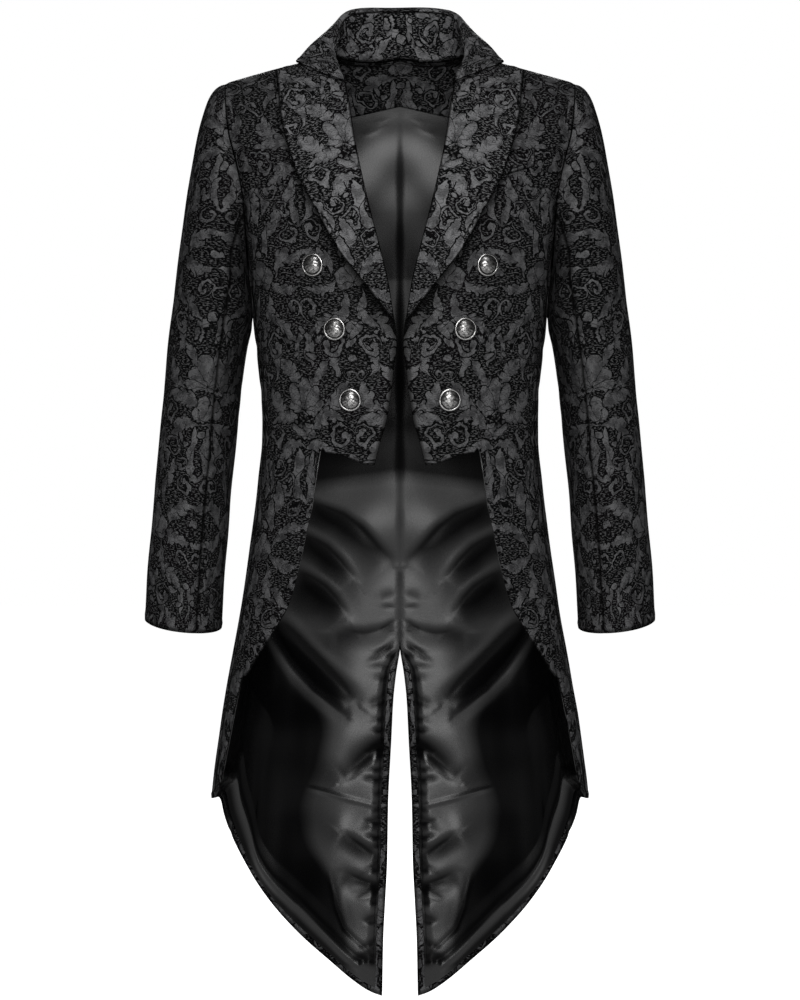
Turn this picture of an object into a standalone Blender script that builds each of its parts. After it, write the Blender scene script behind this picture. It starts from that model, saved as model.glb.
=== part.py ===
"""Tailcoat in black jacquard with satin-lined tails, as it hangs when worn, with nobody inside.

Lengths are metres. +X is the wearer's left, -Y the front, +Z up. The origin is the middle of the neck,
level with the shoulders. Every cloth piece is a thin wall cut from one body surface (or from the sleeve,
lapel and collar surfaces that are worked out from it), so neighbours share their seam line.

On the body surface a point is given by its turn (0 at the centre front, 180 degrees at the centre back)
and its drop: how far it lies below the shoulder ridge near the top, and below the neck further down.
"""
import math

import bmesh
import bpy
import numpy as np
from mathutils import Matrix, Vector

# ---- cloth and seams -------------------------------------------------------------------------------
SHELL = 0.0018            # jacquard with its interlining
SATIN = 0.0010            # lining
SEAM = 0.0003             # what is left between two sewn pieces
LINING_EASE = 0.0028      # between the shell's inside and the lining
FACING_EASE = 0.0012      # between the shell's inside and the neck facing
LINING_INSET = 0.009      # the shell turned in along the tail's hem and vent, beside the lining
FACING_WALL = 0.0014      # back neck facing, on the shell's inside
LAPEL_WALL = 0.0020
COLLAR_WALL = 0.0022      # top collar and canvas

# ---- how finely the walls are divided --------------------------------------------------------------
ROWS_ABOVE = 9            # shoulder to where a side seam meets the armhole
ROWS_BELOW = 18           # from there to the hem
HEM_COLUMNS = 4           # across the forepart's hem
CUT_COLUMNS = 9           # and across its cut-away
CUT_SPACING = 1.35        # over 1: closer together at the hem's corner
SIDE_COLUMNS = 6
SLEEVE_ROWS = 16
FACING_ROWS = 4
FACING_COLUMNS = 6        # each side of the centre back

# ---- the body surface ------------------------------------------------------------------------------
ROUNDNESS = 2.4           # exponent of the body's level sections: 2 is an ellipse
SIDE_Y = 0.008            # where the sides and the shoulder ridge lie, front to back
SHOULDER_RISE = 0.028     # height of the ridge line at the neck's centre
SHOULDER_SLOPE = 0.27     # fall of the ridge line for each metre outwards
CHEST_DROP = 0.210        # how far below the shoulder the chest is fullest
BLADE_DROP = 0.140        # and the back
ARMHOLE_DROP = 0.262      # underarm
ARMHOLE_DEPTH = 0.124     # armhole, front to back
NECK_X = 0.080            # neck point of the shoulder seam
BACK_NECK_DROP = 0.020    # centre-back neck

# level: below the neck; half_width: side silhouette; front, back: at the centre
BODY_COLUMNS = ("level", "half_width", "front", "back")
BODY = (
    (0.262, 0.1800, -0.1180, 0.1100),
    (0.300, 0.1768, -0.1175, 0.1050),
    (0.335, 0.1738, -0.1165, 0.0990),
    (0.382, 0.1682, -0.1130, 0.0900),
    (0.430, 0.1656, -0.1080, 0.0850),
    (0.455, 0.1658, -0.1060, 0.0850),
    (0.502, 0.1706, -0.1060, 0.0900),
    (0.551, 0.1767, -0.1080, 0.0980),
    (0.599, 0.1830, -0.1100, 0.1060),
    (0.647, 0.1902, -0.1110, 0.1120),
    (0.696, 0.1988, -0.1110, 0.1150),
    (0.744, 0.2074, -0.1110, 0.1165),
    (0.793, 0.2160, -0.1110, 0.1175),
    (0.848, 0.2234, -0.1110, 0.1180),
    (0.900, 0.2290, -0.1110, 0.1180),
    (1.160, 0.2390, -0.1110, 0.1150),
)
# armhole seam: half width of the body along it
ARMHOLE_COLUMNS = ("drop", "x")
ARMHOLE = (
    (0.000, 0.2085),
    (0.040, 0.2055),
    (0.070, 0.2020),
    (0.105, 0.1945),
    (0.135, 0.1885),
    (0.180, 0.1830),
    (0.220, 0.1812),
    (0.262, 0.1800),
)
# soft upright folds of the tails: turn and half width in degrees, depth outwards, level where each starts
TAIL_FOLD_COLUMNS = ("turn", "width", "depth", "start")
TAIL_FOLDS = (
    (164.0, 9.0, 0.0050, 0.62),
    (146.0, 8.0, -0.0060, 0.58),
    (127.0, 9.0, 0.0060, 0.70),
)
FOLD_GROWTH = 0.30        # length over which a fold deepens

# ---- seams and edges of the body pieces ------------------------------------------------------------
SIDE_SEAM_COLUMNS = ("drop", "side_front", "side_back")
SIDE_SEAMS = (
    (0.190, 78.0, 118.7),
    (0.262, 78.0, 121.5),
    (0.330, 76.0, 124.5),
    (0.430, 74.0, 128.0),
    (0.560, 75.0, 127.0),
    (0.750, 77.0, 123.0),
    (0.881, 78.0, 119.0),
    (1.160, 78.0, 113.0),
)
BACK_SEAM_TOP = 0.190     # drop at which the side-back seam leaves the armhole
# neckline, then the lapel's roll line, then the open front edge down to the hem's corner
FRONT_EDGE_COLUMNS = ("drop", "x")
FRONT_EDGE = (
    (0.000, 0.0800),
    (0.010, 0.0760),
    (0.028, 0.0690),
    (0.048, 0.0635),
    (0.075, 0.0585),
    (0.109, 0.0533),
    (0.158, 0.0427),
    (0.190, 0.0345),
    (0.236, 0.0219),
    (0.270, 0.0138),
    (0.300, 0.0092),
    (0.327, 0.0050),
    (0.343, 0.0042),
    (0.363, 0.0069),
    (0.391, 0.0100),
    (0.425, 0.0151),
    (0.454, 0.0232),
    (0.481, 0.0302),
)
# (x, level) along the forepart's hem from its front corner, then down the cut-away towards the side
HEM_CORNER = (0.0935, 0.4655)
FRONT_BOTTOM = (
    (0.0302, 0.4808),
    (0.0453, 0.4785),
    (0.0604, 0.4716),
    (0.0790, 0.4670),
    HEM_CORNER,
    (0.0989, 0.4997),
    (0.1036, 0.5369),
    (0.1129, 0.5742),
    (0.1201, 0.6152),
    (0.1320, 0.6496),
    (0.1489, 0.6787),
    (0.1649, 0.7023),
    (0.1777, 0.7244),
    (0.1885, 0.7380),
    (0.1940, 0.7550),
    (0.2000, 0.7887),
    (0.2055, 0.8218),
    (0.2098, 0.8487),
    (0.2158, 0.8700),
)
SIDE_SEAM_END = 0.8810    # level where the cut-away reaches the side seam
# the hem runs on round the side, as (turn, level), and then across the tail to its tip, as (x, level)
TAIL_CUT = ((78.0, SIDE_SEAM_END), (85.0, 0.8845), (95.0, 0.8890))
TAIL_HEM = (
    (0.2209, 0.8916),
    (0.2150, 0.9194),
    (0.2063, 0.9466),
    (0.1950, 0.9740),
    (0.1808, 1.0008),
    (0.1617, 1.0287),
    (0.1398, 1.0558),
    (0.1163, 1.0820),
    (0.0889, 1.1079),
    (0.0589, 1.1336),
    (0.0389, 1.1468),
    (0.0238, 1.1531),
)
VENT_COLUMNS = ("level", "x")
VENT = (
    (0.000, 0.0000),
    (0.700, 0.0000),
    (0.722, 0.0002),
    (0.731, 0.0025),
    (0.756, 0.0062),
    (0.781, 0.0087),
    (0.832, 0.0112),
    (0.907, 0.0150),
    (0.983, 0.0163),
    (1.033, 0.0188),
    (1.084, 0.0213),
    (1.160, 0.0227),
)
# where the columns of the back start at the shoulder seam, armhole to centre back
BACK_COLUMNS_X = (0.2085, 0.180, 0.152, 0.126, 0.102, NECK_X, 0.060, 0.040, 0.020, 0.0)
FACING_BOTTOM = 0.069     # drop of the neck facing's lower edge
FACING_X = 0.084          # and its half width there
LINING_COLUMNS_X = (0.2085, 0.178, 0.150, 0.124, 0.100, FACING_X, 0.062, 0.041, 0.020, 0.0)
FACING_TOP = 0.0015       # how far it stays below the neckline
LINING_TOP = 0.003        # drop of the lining's edge at the shoulder seam
LINING_TURN = 2.4         # degrees by which the lining stays back from the side-front seam
LINING_HEM_TURN = 130.0   # turn from which the hem's inset is square to the hem alone
LINING_VENT = (0.705, 0.745)   # levels between which the lining draws back from the vent

# ---- lapels: outer edge, and how far the turned-over cloth stands off the forepart ------------------
LAPEL_TOP = 0.0480        # drop at which the gorge leaves the roll line
LAPEL_BREAK = 0.3050      # drop at which the lapel starts to turn over
LAPEL_EDGE_COLUMNS = ("along", "x", "z")
LAPEL_EDGE = (
    (0.00, 0.1457, -0.0210),
    (0.08, 0.1410, -0.0384),
    (0.19, 0.1376, -0.0677),
    (0.31, 0.1310, -0.0997),
    (0.37, 0.1261, -0.1153),
    (0.48, 0.1165, -0.1438),
    (0.56, 0.1047, -0.1662),
    (0.67, 0.0862, -0.1998),
    (0.76, 0.0700, -0.2310),
    (0.84, 0.0516, -0.2585),
    (0.91, 0.0333, -0.2803),
    (0.96, 0.0184, -0.2986),
    (1.00, 0.0094, -0.3099),
)
# top edge from the roll line outwards: the gorge seam as far as the collar's end, then a free edge
LAPEL_HEAD_COLUMNS = ("across", "x", "z")
LAPEL_HEAD = (
    (0.00, 0.0640, -0.0370),
    (0.35, 0.0880, -0.0270),
    (0.66, 0.1120, -0.0150),
    (0.85, 0.1300, -0.0150),
    (1.00, 0.1457, -0.0210),
)
GORGE_END = 0.66          # how far across the lapel the collar reaches
LAPEL_SPRING_COLUMNS = ("along", "rise")
LAPEL_SPRING = ((0.00, 0.0026), (0.30, 0.0040), (0.60, 0.0085), (0.85, 0.0105), (1.00, 0.0030))
LAPEL_SEAT = 0.0004       # between the forepart and the lapel at the roll line
LAPEL_ROWS = 14
LAPEL_COLUMNS = 9

# ---- collar: crest of the fold and edge of the leaf, from the centre back round to the gorge --------
COLLAR_COLUMNS = ("round", "crest_x", "crest_y", "crest_z", "leaf_x", "leaf_y", "leaf_lift")
COLLAR = (
    (0.00, 0.0000, 0.0680, 0.0690, 0.0000, 0.0860, 0.0050),
    (0.18, 0.0300, 0.0650, 0.0682, 0.0450, 0.0840, 0.0050),
    (0.36, 0.0580, 0.0510, 0.0640, 0.0840, 0.0680, 0.0050),
    (0.54, 0.0740, 0.0280, 0.0500, 0.1120, 0.0400, 0.0045),
    (0.70, 0.0770, -0.0060, 0.0270, 0.1230, 0.0080, 0.0040),
    (0.86, 0.0720, -0.0370, -0.0010, 0.1210, -0.0120, 0.0036),
    (1.00, 0.0650, -0.0600, -0.0330, 0.1120, -0.0260, 0.0036),
)
SHOULDER_SHARE = 0.66     # share of the way round at which the collar passes the shoulder seam
COLLAR_SEAT = 0.0010      # between the neckline and the stand
COLLAR_FOLD = 0.0054      # half width of the fold at its crest
LEAF_BULGE = 0.0055       # how far the leaf rounds out between crest and edge
STAND_ROWS = 4
LEAF_ROWS = 9
COLLAR_STEPS = 14         # pieces round each half
STAND_TOP = 0.34          # share of the collar's section that is the stand
CREST_OVER = 0.50         # share at which it passes the crest
STAND_STEPS = 10          # pieces round before the stand runs out
FOLD_END = (0.68, 0.86)   # shares of the way round between which the fold dies away to a flat leaf
GORGE_START = 0.86        # share of the way round from which the flat leaf turns into the gorge seam
GORGE_SHARES = (0.0, 0.06, 0.20, 0.55, 1.0)   # the leaf's section where it is flat, roll line outwards
GORGE_GAP = 0.0030        # between the leaf and the lapel

# ---- sleeves: the outer and the under line of the sleeve, and its depth front to back ---------------
SLEEVE_COLUMNS = ("along", "outer_x", "outer_z", "under_x", "under_z", "centre_y", "half_depth", "dip")
SLEEVE = (
    (0.00, 0.2085, -0.0283, 0.1800, -0.2620, 0.0080, 0.0620, 0.0000),
    (0.03, 0.2190, -0.0340, 0.1808, -0.2700, 0.0080, 0.0640, 0.0000),
    (0.07, 0.2268, -0.0440, 0.1801, -0.2790, 0.0070, 0.0655, 0.0000),
    (0.13, 0.2355, -0.0680, 0.1793, -0.2900, 0.0060, 0.0670, 0.0000),
    (0.20, 0.2440, -0.1000, 0.1785, -0.3020, 0.0050, 0.0680, 0.0000),
    (0.30, 0.2525, -0.1480, 0.1780, -0.3200, 0.0040, 0.0670, 0.0000),
    (0.40, 0.2610, -0.2080, 0.1826, -0.3450, 0.0030, 0.0650, 0.0000),
    (0.52, 0.2710, -0.2850, 0.1893, -0.3880, 0.0020, 0.0610, 0.0000),
    (0.65, 0.2822, -0.3850, 0.1960, -0.4580, 0.0010, 0.0570, 0.0000),
    (0.80, 0.2925, -0.5000, 0.2043, -0.5450, -0.0060, 0.0535, 0.0010),
    (0.90, 0.2988, -0.5750, 0.2088, -0.6050, -0.0130, 0.0510, 0.0030),
    (1.00, 0.3047, -0.6670, 0.2130, -0.6780, -0.0210, 0.0480, 0.0060),
)
CROWN_BLEND = 0.20        # share of the sleeve over which the armhole's shape fades out
UNDERARM_CLEARANCE = 0.0010
UNDER_SLEEVE_STEPS = 4    # armhole steps each side of the underarm that the under sleeve takes

# ---- pocket welt and buttons -----------------------------------------------------------------------
WELT_CORNERS = ((0.100, -0.1510), (0.1560, -0.1340))   # lower edge, inner and outer end (x, z)
WELT_HEIGHT = 0.0215
WELT_ROWS = 2
WELT_COLUMNS = 6
WELT_WALL = 0.0016
BUTTON_PLACES = ((0.0999, -0.2492), (0.0748, -0.3231), (0.0571, -0.4048))
BUTTON_RADIUS = 0.0124
# (radius, height) of a button's turned profile, from the cloth up: shank, back, rim, groove, dome
BUTTON = (
    (0.0026, 0.0000),
    (0.0026, 0.0022),
    (0.0108, 0.0026),
    (BUTTON_RADIUS, 0.0036),
    (0.0121, 0.0050),
    (0.0108, 0.0056),
    (0.0100, 0.0051),
    (0.0072, 0.0075),
    (0.0036, 0.0088),
)
BUTTON_TOP = 0.0092
BUTTON_SIDES = 16


# ---- tables ----------------------------------------------------------------------------------------
def curve(table, columns, name):
    """A smooth curve through the named column, read against the first one; it never overshoots."""
    x = np.array([row[0] for row in table])
    y = np.array([row[columns.index(name)] for row in table])
    step = np.diff(x)
    rise = np.diff(y) / step
    slope = np.zeros(len(x))
    for i in range(1, len(x) - 1):
        if rise[i - 1] * rise[i] > 0:
            before = 2 * step[i] + step[i - 1]
            after = step[i] + 2 * step[i - 1]
            slope[i] = (before + after) / (before / rise[i - 1] + after / rise[i])
    slope[0] = rise[0]
    slope[-1] = rise[-1]

    def at(place):
        place = min(max(place, x[0]), x[-1])
        i = min(int(np.searchsorted(x, place, side="right")) - 1, len(step) - 1)
        t = (place - x[i]) / step[i]
        start = y[i] * (1 + 2 * t) * (1 - t) ** 2 + slope[i] * step[i] * t * (1 - t) ** 2
        end = y[i + 1] * (3 - 2 * t) * t ** 2 - slope[i + 1] * step[i] * (1 - t) * t ** 2
        return float(start + end)

    return at


def solve(miss, low, high):
    """The place between low and high where miss changes sign, or the nearer end."""
    if miss(low) >= 0:
        return low
    if miss(high) <= 0:
        return high
    for _ in range(40):
        middle = (low + high) / 2
        if miss(middle) < 0:
            low = middle
        else:
            high = middle
    return (low + high) / 2


def ease(share):
    """0 to 1 with soft ends."""
    share = min(max(share, 0.0), 1.0)
    return share * share * (3 - 2 * share)


# ---- the body surface ------------------------------------------------------------------------------
half_width_at = curve(BODY, BODY_COLUMNS, "half_width")
front_at = curve(BODY, BODY_COLUMNS, "front")
back_at = curve(BODY, BODY_COLUMNS, "back")
armhole_x = curve(ARMHOLE, ARMHOLE_COLUMNS, "x")
side_front_turn = curve(SIDE_SEAMS, SIDE_SEAM_COLUMNS, "side_front")
side_back_turn = curve(SIDE_SEAMS, SIDE_SEAM_COLUMNS, "side_back")
front_edge_x = curve(FRONT_EDGE, FRONT_EDGE_COLUMNS, "x")
vent_x = curve(VENT, VENT_COLUMNS, "x")


def armhole_reach(drop):
    """How far the armhole seam lies in front of and behind the side line."""
    share = min(max(1 - 2 * drop / ARMHOLE_DROP, -1.0), 1.0)
    return ARMHOLE_DEPTH / 2 * math.sqrt(1 - share * share)


def section(drop, at_back):
    """Half width and depth of the body's section, on its front or its back half."""
    if drop >= ARMHOLE_DROP:
        centre = back_at(drop) if at_back else front_at(drop)
        return half_width_at(drop), abs(centre - SIDE_Y)
    drop = max(drop, 1e-10)
    fullest = BLADE_DROP if at_back else CHEST_DROP
    depth = abs((back_at if at_back else front_at)(ARMHOLE_DROP) - SIDE_Y)
    depth *= math.sqrt(1 - (1 - min(drop / fullest, 1.0)) ** 2)
    cut = (armhole_reach(drop) / depth) ** ROUNDNESS
    return armhole_x(drop) / (1 - cut) ** (1 / ROUNDNESS), depth


def tail_fold(turn, drop):
    push = 0.0
    for row in TAIL_FOLDS:
        fold = dict(zip(TAIL_FOLD_COLUMNS, row))
        offset = (math.degrees(turn) - fold["turn"]) / fold["width"]
        push += fold["depth"] * math.exp(-offset * offset) * ease((drop - fold["start"]) / FOLD_GROWTH)
    return push


def body(turn, drop):
    """A point of the body surface; turns past 180 degrees are on the wearer's right."""
    side = 1.0
    if turn > math.pi:
        turn, side = 2 * math.pi - turn, -1.0
    at_back = turn > math.pi / 2
    half_width, depth = section(drop, at_back)
    x = half_width * abs(math.sin(turn)) ** (2 / ROUNDNESS)
    y = depth * abs(math.cos(turn)) ** (2 / ROUNDNESS)
    if at_back:
        y += tail_fold(turn, drop)
    ridge = SHOULDER_RISE - SHOULDER_SLOPE * x
    z = ridge * (1 - ease(drop / ARMHOLE_DROP)) - drop
    return np.array([side * x, SIDE_Y + (y if at_back else -y), z])


def unit(vector):
    return vector / np.linalg.norm(vector)


def surface_normal(place, u, v, small=1e-4):
    """The direction square to a surface at (u, v), from its own slopes; v only ever steps up from 0."""
    v_low = max(v - small, 0.0)
    along_u = place(u + small, v) - place(u - small, v)
    along_v = place(u, v + small) - place(u, v_low)
    return unit(np.cross(along_v, along_u))


def body_normal(turn, drop):
    """Outwards from the body; the drop is taken as a square so that the ridge has a direction too."""
    return surface_normal(lambda t, root: body(t, root * root), turn, math.sqrt(drop), 5e-4)


def turn_at_x(x, drop, at_back):
    half_width, _ = section(drop, at_back)
    turn = math.asin(min(x / half_width, 1.0) ** (ROUNDNESS / 2))
    return math.pi - turn if at_back else turn


def armhole_turn(drop, at_back):
    return turn_at_x(armhole_x(drop), drop, at_back)


def on_front(x, z, lift):
    """The point of the forepart at this x and z, moved out by lift, and the direction outwards there."""
    def below(drop):
        ridge = SHOULDER_RISE - SHOULDER_SLOPE * x
        return z - (ridge * (1 - ease(drop / ARMHOLE_DROP)) - drop)

    drop = solve(below, 1e-6, 1.0)
    turn = turn_at_x(x, drop, False)
    normal = body_normal(turn, drop)
    return body(turn, drop) + normal * lift, normal


# ---- walls -----------------------------------------------------------------------------------------
def cloth_material(name, colour, roughness, metallic=0.0):
    material = bpy.data.materials.new(name)
    material.use_nodes = True
    shader = material.node_tree.nodes["Principled BSDF"]
    shader.inputs["Base Color"].default_value = (*colour, 1.0)
    shader.inputs["Roughness"].default_value = roughness
    shader.inputs["Metallic"].default_value = metallic
    return material


def wall(name, points, normals, thickness, material, mirrored=False):
    """A closed wall: a sheet through rows of points, extruded inwards square to its surface."""
    flip = np.array([-1.0, 1.0, 1.0]) if mirrored else np.ones(3)
    mesh = bpy.data.meshes.new(name)
    sheet = bmesh.new()
    inwards = sheet.verts.layers.float_vector.new("inwards")
    rows = []
    for row, row_normals in zip(points, normals):
        verts = []
        for point, normal in zip(row, row_normals):
            vert = sheet.verts.new(point * flip)
            vert[inwards] = Vector(-normal * thickness * flip)
            verts.append(vert)
        rows.append(verts)
    for upper, lower in zip(rows, rows[1:]):
        for i in range(len(upper) - 1):
            sheet.faces.new((upper[i], upper[i + 1], lower[i + 1], lower[i]))
    copy = bmesh.ops.extrude_face_region(sheet, geom=list(sheet.faces))
    for vert in copy["geom"]:
        if isinstance(vert, bmesh.types.BMVert):
            vert.co += vert[inwards]
    bmesh.ops.triangulate(sheet, faces=list(sheet.faces))
    bmesh.ops.recalc_face_normals(sheet, faces=list(sheet.faces))
    sheet.to_mesh(mesh)
    sheet.free()
    mesh.shade_smooth()
    mesh.materials.append(material)
    piece = bpy.data.objects.new(name, mesh)
    bpy.context.scene.collection.objects.link(piece)
    return piece


def draw_in(points, top=0.0, bottom=0.0, first=0.0, last=0.0):
    """Moves the edges of a sheet in towards its middle, to leave room at its seams."""
    moved = [list(row) for row in points]
    for edge, inner, amount in ((0, 1, top), (-1, -2, bottom)):
        for i in range(len(points[0])):
            moved[edge][i] = moved[edge][i] + unit(points[inner][i] - points[edge][i]) * amount
    for edge, inner, amount in ((0, 1, first), (-1, -2, last)):
        for i in range(len(points)):
            moved[i][edge] = moved[i][edge] + unit(points[i][inner] - points[i][edge]) * amount
    return moved


def sheet_of(places):
    """Points and outward directions for rows of (turn, drop) places on the body."""
    points = [[body(turn, drop) for turn, drop in row] for row in places]
    normals = [[body_normal(turn, drop) for turn, drop in row] for row in places]
    return points, normals


def inside(points, normals, depth):
    return [[p - n * depth for p, n in zip(*rows)] for rows in zip(points, normals)]


# ---- where the body pieces are cut -----------------------------------------------------------------
def between(first, last, share):
    return first + (last - first) * share


def armhole_rows(end):
    """Drops down the armhole seam in even steps round it, from the shoulder to the drop given."""
    last = math.acos(1 - 2 * end / ARMHOLE_DROP)
    return [ARMHOLE_DROP / 2 * (1 - math.cos(last * i / ROWS_ABOVE)) for i in range(ROWS_ABOVE + 1)]


def front_seam_top():
    """Drop at which the side-front seam leaves the armhole."""
    return solve(lambda d: armhole_turn(d, False) - math.radians(side_front_turn(d)), 0.20, 0.26)


def front_bottom(turn, drop):
    """How far a place lies below the forepart's hem or cut-away, negative above it."""
    level = [row[1] for row in FRONT_BOTTOM] + [SIDE_SEAM_END]
    turns = [turn_at_x(x, z, False) for x, z in FRONT_BOTTOM]
    turns.append(math.radians(side_front_turn(SIDE_SEAM_END)))
    return drop - float(np.interp(turn, turns, level))


TAIL_TURNS = [math.radians(turn) for turn, _ in TAIL_CUT]
TAIL_TURNS += [turn_at_x(x, level, True) for x, level in TAIL_HEM]
TAIL_LEVELS = [level for _, level in TAIL_CUT] + [level for _, level in TAIL_HEM]
tail_hem_at = curve(list(zip(TAIL_TURNS, TAIL_LEVELS)), ("turn", "level"), "level")


def column_fractions(xs, first_turn, last_turn, at_back):
    """Shares of the way across a piece at which its columns pass these x at the shoulder."""
    turns = [turn_at_x(x, 0.0, at_back) for x in xs]
    return [(turn - first_turn) / (last_turn - first_turn) for turn in turns]


def front_places():
    top = front_seam_top()
    edge = lambda drop: turn_at_x(front_edge_x(drop), drop, False)

    def outer(drop):
        return armhole_turn(drop, False) if drop < top else math.radians(side_front_turn(drop))

    corner_x, corner_level = HEM_CORNER
    corner = turn_at_x(corner_x, corner_level, False)
    corner_share = (corner - edge(corner_level)) / (outer(corner_level) - edge(corner_level))
    hem_shares = [corner_share * i / HEM_COLUMNS for i in range(HEM_COLUMNS)]
    cut_steps = range(CUT_COLUMNS + 1)
    cut_shares = [between(corner_share, 1.0, (i / CUT_COLUMNS) ** CUT_SPACING) for i in cut_steps]
    places = [[] for _ in range(ROWS_ABOVE + ROWS_BELOW + 1)]
    for share in hem_shares + cut_shares:
        turn_on = lambda drop: between(edge(drop), outer(drop), share)
        end = solve(lambda drop: front_bottom(turn_on(drop), drop), 0.40, SIDE_SEAM_END)
        if share == corner_share:
            end = corner_level
        drops = armhole_rows(top)
        drops += [between(top, end, (i + 1) / ROWS_BELOW) for i in range(ROWS_BELOW)]
        for row, drop in zip(places, drops):
            row.append((turn_on(drop), drop))
    return places


def side_places():
    front_top = front_seam_top()
    places = [[] for _ in range(ROWS_BELOW + 1)]
    for j in range(SIDE_COLUMNS + 1):
        share = j / SIDE_COLUMNS

        def turn_on(drop):
            first = math.radians(side_front_turn(drop))
            return between(first, math.radians(side_back_turn(drop)), share)

        def under_armhole(drop):
            turn = turn_on(drop)
            _, depth = section(drop, turn > math.pi / 2)
            return depth * abs(math.cos(turn)) ** (2 / ROUNDNESS) - armhole_reach(drop)

        start = solve(under_armhole, ARMHOLE_DROP / 2, ARMHOLE_DROP)
        if j == 0:
            start = front_top
        if j == SIDE_COLUMNS:
            start = BACK_SEAM_TOP
        end = solve(lambda drop: drop - tail_hem_at(turn_on(drop)), 0.60, 1.16)
        for i, row in enumerate(places):
            drop = between(start, end, i / ROWS_BELOW)
            row.append((turn_on(drop), drop))
    return places


def neckline_drop(x):
    return BACK_NECK_DROP * max(1 - (x / NECK_X) ** 2, 0.0)


def back_places():
    centre = lambda drop: turn_at_x(vent_x(drop), drop, True)

    def outer(drop):
        if drop < BACK_SEAM_TOP:
            return armhole_turn(drop, True)
        return math.radians(side_back_turn(drop))

    shares = column_fractions(BACK_COLUMNS_X, outer(0.0), math.pi, True)
    places = [[] for _ in range(ROWS_ABOVE + ROWS_BELOW + 1)]
    for share in shares:
        turn_on = lambda drop: between(outer(drop), centre(drop), share)
        across = lambda drop: drop - neckline_drop(body(turn_on(drop), drop)[0])
        start = solve(across, 0.0, 0.03) if share > shares[BACK_COLUMNS_X.index(NECK_X)] else 0.0
        end = solve(lambda drop: drop - tail_hem_at(turn_on(drop)), 0.60, 1.16)
        drops = [max(start, 0.0) + drop * (1 - start / BACK_SEAM_TOP) for drop in armhole_rows(BACK_SEAM_TOP)]
        drops += [between(BACK_SEAM_TOP, end, (i + 1) / ROWS_BELOW) for i in range(ROWS_BELOW)]
        for row, drop in zip(places, drops):
            row.append((turn_on(drop), drop))
    return places


# ---- body pieces -----------------------------------------------------------------------------------
def make_front(name, jacquard, mirrored):
    points, normals = sheet_of(front_places())
    points = draw_in(points, top=SEAM / 2, last=SEAM / 2)
    return wall(name, points, normals, SHELL, jacquard, mirrored)


def make_side(name, jacquard, mirrored):
    points, normals = sheet_of(side_places())
    points = draw_in(points, top=SEAM / 2, first=SEAM / 2, last=SEAM / 2)
    return wall(name, points, normals, SHELL, jacquard, mirrored)


def make_back(name, jacquard, mirrored):
    points, normals = sheet_of(back_places())
    points = draw_in(points, top=SEAM / 2, first=SEAM / 2, last=SEAM / 2)
    return wall(name, points, normals, SHELL, jacquard, mirrored)


def make_neck_facing(jacquard):
    """One piece across the inside of the back neck, from the neckline down to a straight edge."""
    places = [[] for _ in range(FACING_ROWS + 1)]
    for j in range(-FACING_COLUMNS, FACING_COLUMNS + 1):
        share = j / FACING_COLUMNS
        for i, row in enumerate(places):
            x = between(NECK_X - FACING_TOP, FACING_X, i / FACING_ROWS) * abs(share)
            drop = between(neckline_drop(x) + FACING_TOP, FACING_BOTTOM, i / FACING_ROWS)
            turn = turn_at_x(x, drop, True)
            row.append((turn if share >= 0 else 2 * math.pi - turn, drop))
    points, normals = sheet_of(places)
    return wall("neck_facing", inside(points, normals, SHELL + FACING_EASE), normals, FACING_WALL, jacquard)


def lining_places():
    """Back, side and tail in one, from the facing and the armhole down to just inside the hem."""
    inset = math.radians(LINING_TURN)

    def centre(drop):
        open_share = ease((drop - LINING_VENT[0]) / (LINING_VENT[1] - LINING_VENT[0]))
        return turn_at_x(vent_x(drop) + LINING_INSET * open_share, drop, True)

    def outer(drop):
        if drop < ARMHOLE_DROP:
            return armhole_turn(drop, True) + inset
        seam = math.radians(side_front_turn(drop))
        return between(math.pi / 2, seam, ease((drop - ARMHOLE_DROP) / 0.05)) + inset

    def hem(turn):
        at_side = ease((math.radians(LINING_HEM_TURN) - turn) / 0.5)
        return tail_hem_at(turn - inset * at_side) - LINING_INSET

    facing_edge = LINING_COLUMNS_X.index(FACING_X)
    shares = column_fractions(LINING_COLUMNS_X, armhole_turn(0.0, True), math.pi, True)
    places = [[] for _ in range(ROWS_ABOVE + ROWS_BELOW + 1)]
    for j, share in enumerate(shares):
        turn_on = lambda drop: between(outer(drop), centre(drop), share)
        start = FACING_BOTTOM + SEAM if j >= facing_edge else LINING_TOP
        end = solve(lambda drop: drop - hem(turn_on(drop)), 0.60, 1.16)
        drops = [between(start, ARMHOLE_DROP, drop / ARMHOLE_DROP) for drop in armhole_rows(ARMHOLE_DROP)]
        drops += [between(ARMHOLE_DROP, end, (i + 1) / ROWS_BELOW) for i in range(ROWS_BELOW)]
        for row, drop in zip(places, drops):
            row.append((turn_on(drop), drop))
    return places


def make_lining(name, satin, mirrored):
    points, normals = sheet_of(lining_places())
    points = inside(points, normals, SHELL + LINING_EASE)
    points = draw_in(points, last=SEAM / 2)
    return wall(name, points, normals, SATIN, satin, mirrored)


# ---- lapels and collar -----------------------------------------------------------------------------
lapel_edge_x = curve(LAPEL_EDGE, LAPEL_EDGE_COLUMNS, "x")
lapel_edge_z = curve(LAPEL_EDGE, LAPEL_EDGE_COLUMNS, "z")
lapel_head_x = curve(LAPEL_HEAD, LAPEL_HEAD_COLUMNS, "x")
lapel_head_z = curve(LAPEL_HEAD, LAPEL_HEAD_COLUMNS, "z")
lapel_spring = curve(LAPEL_SPRING, LAPEL_SPRING_COLUMNS, "rise")


def roll_line(along):
    """x and z of the lapel's roll line, from the gorge down to the break."""
    drop = between(LAPEL_TOP, LAPEL_BREAK, along)
    x = front_edge_x(drop)
    ridge = SHOULDER_RISE - SHOULDER_SLOPE * x
    return x, ridge * (1 - ease(drop / ARMHOLE_DROP)) - drop


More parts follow.
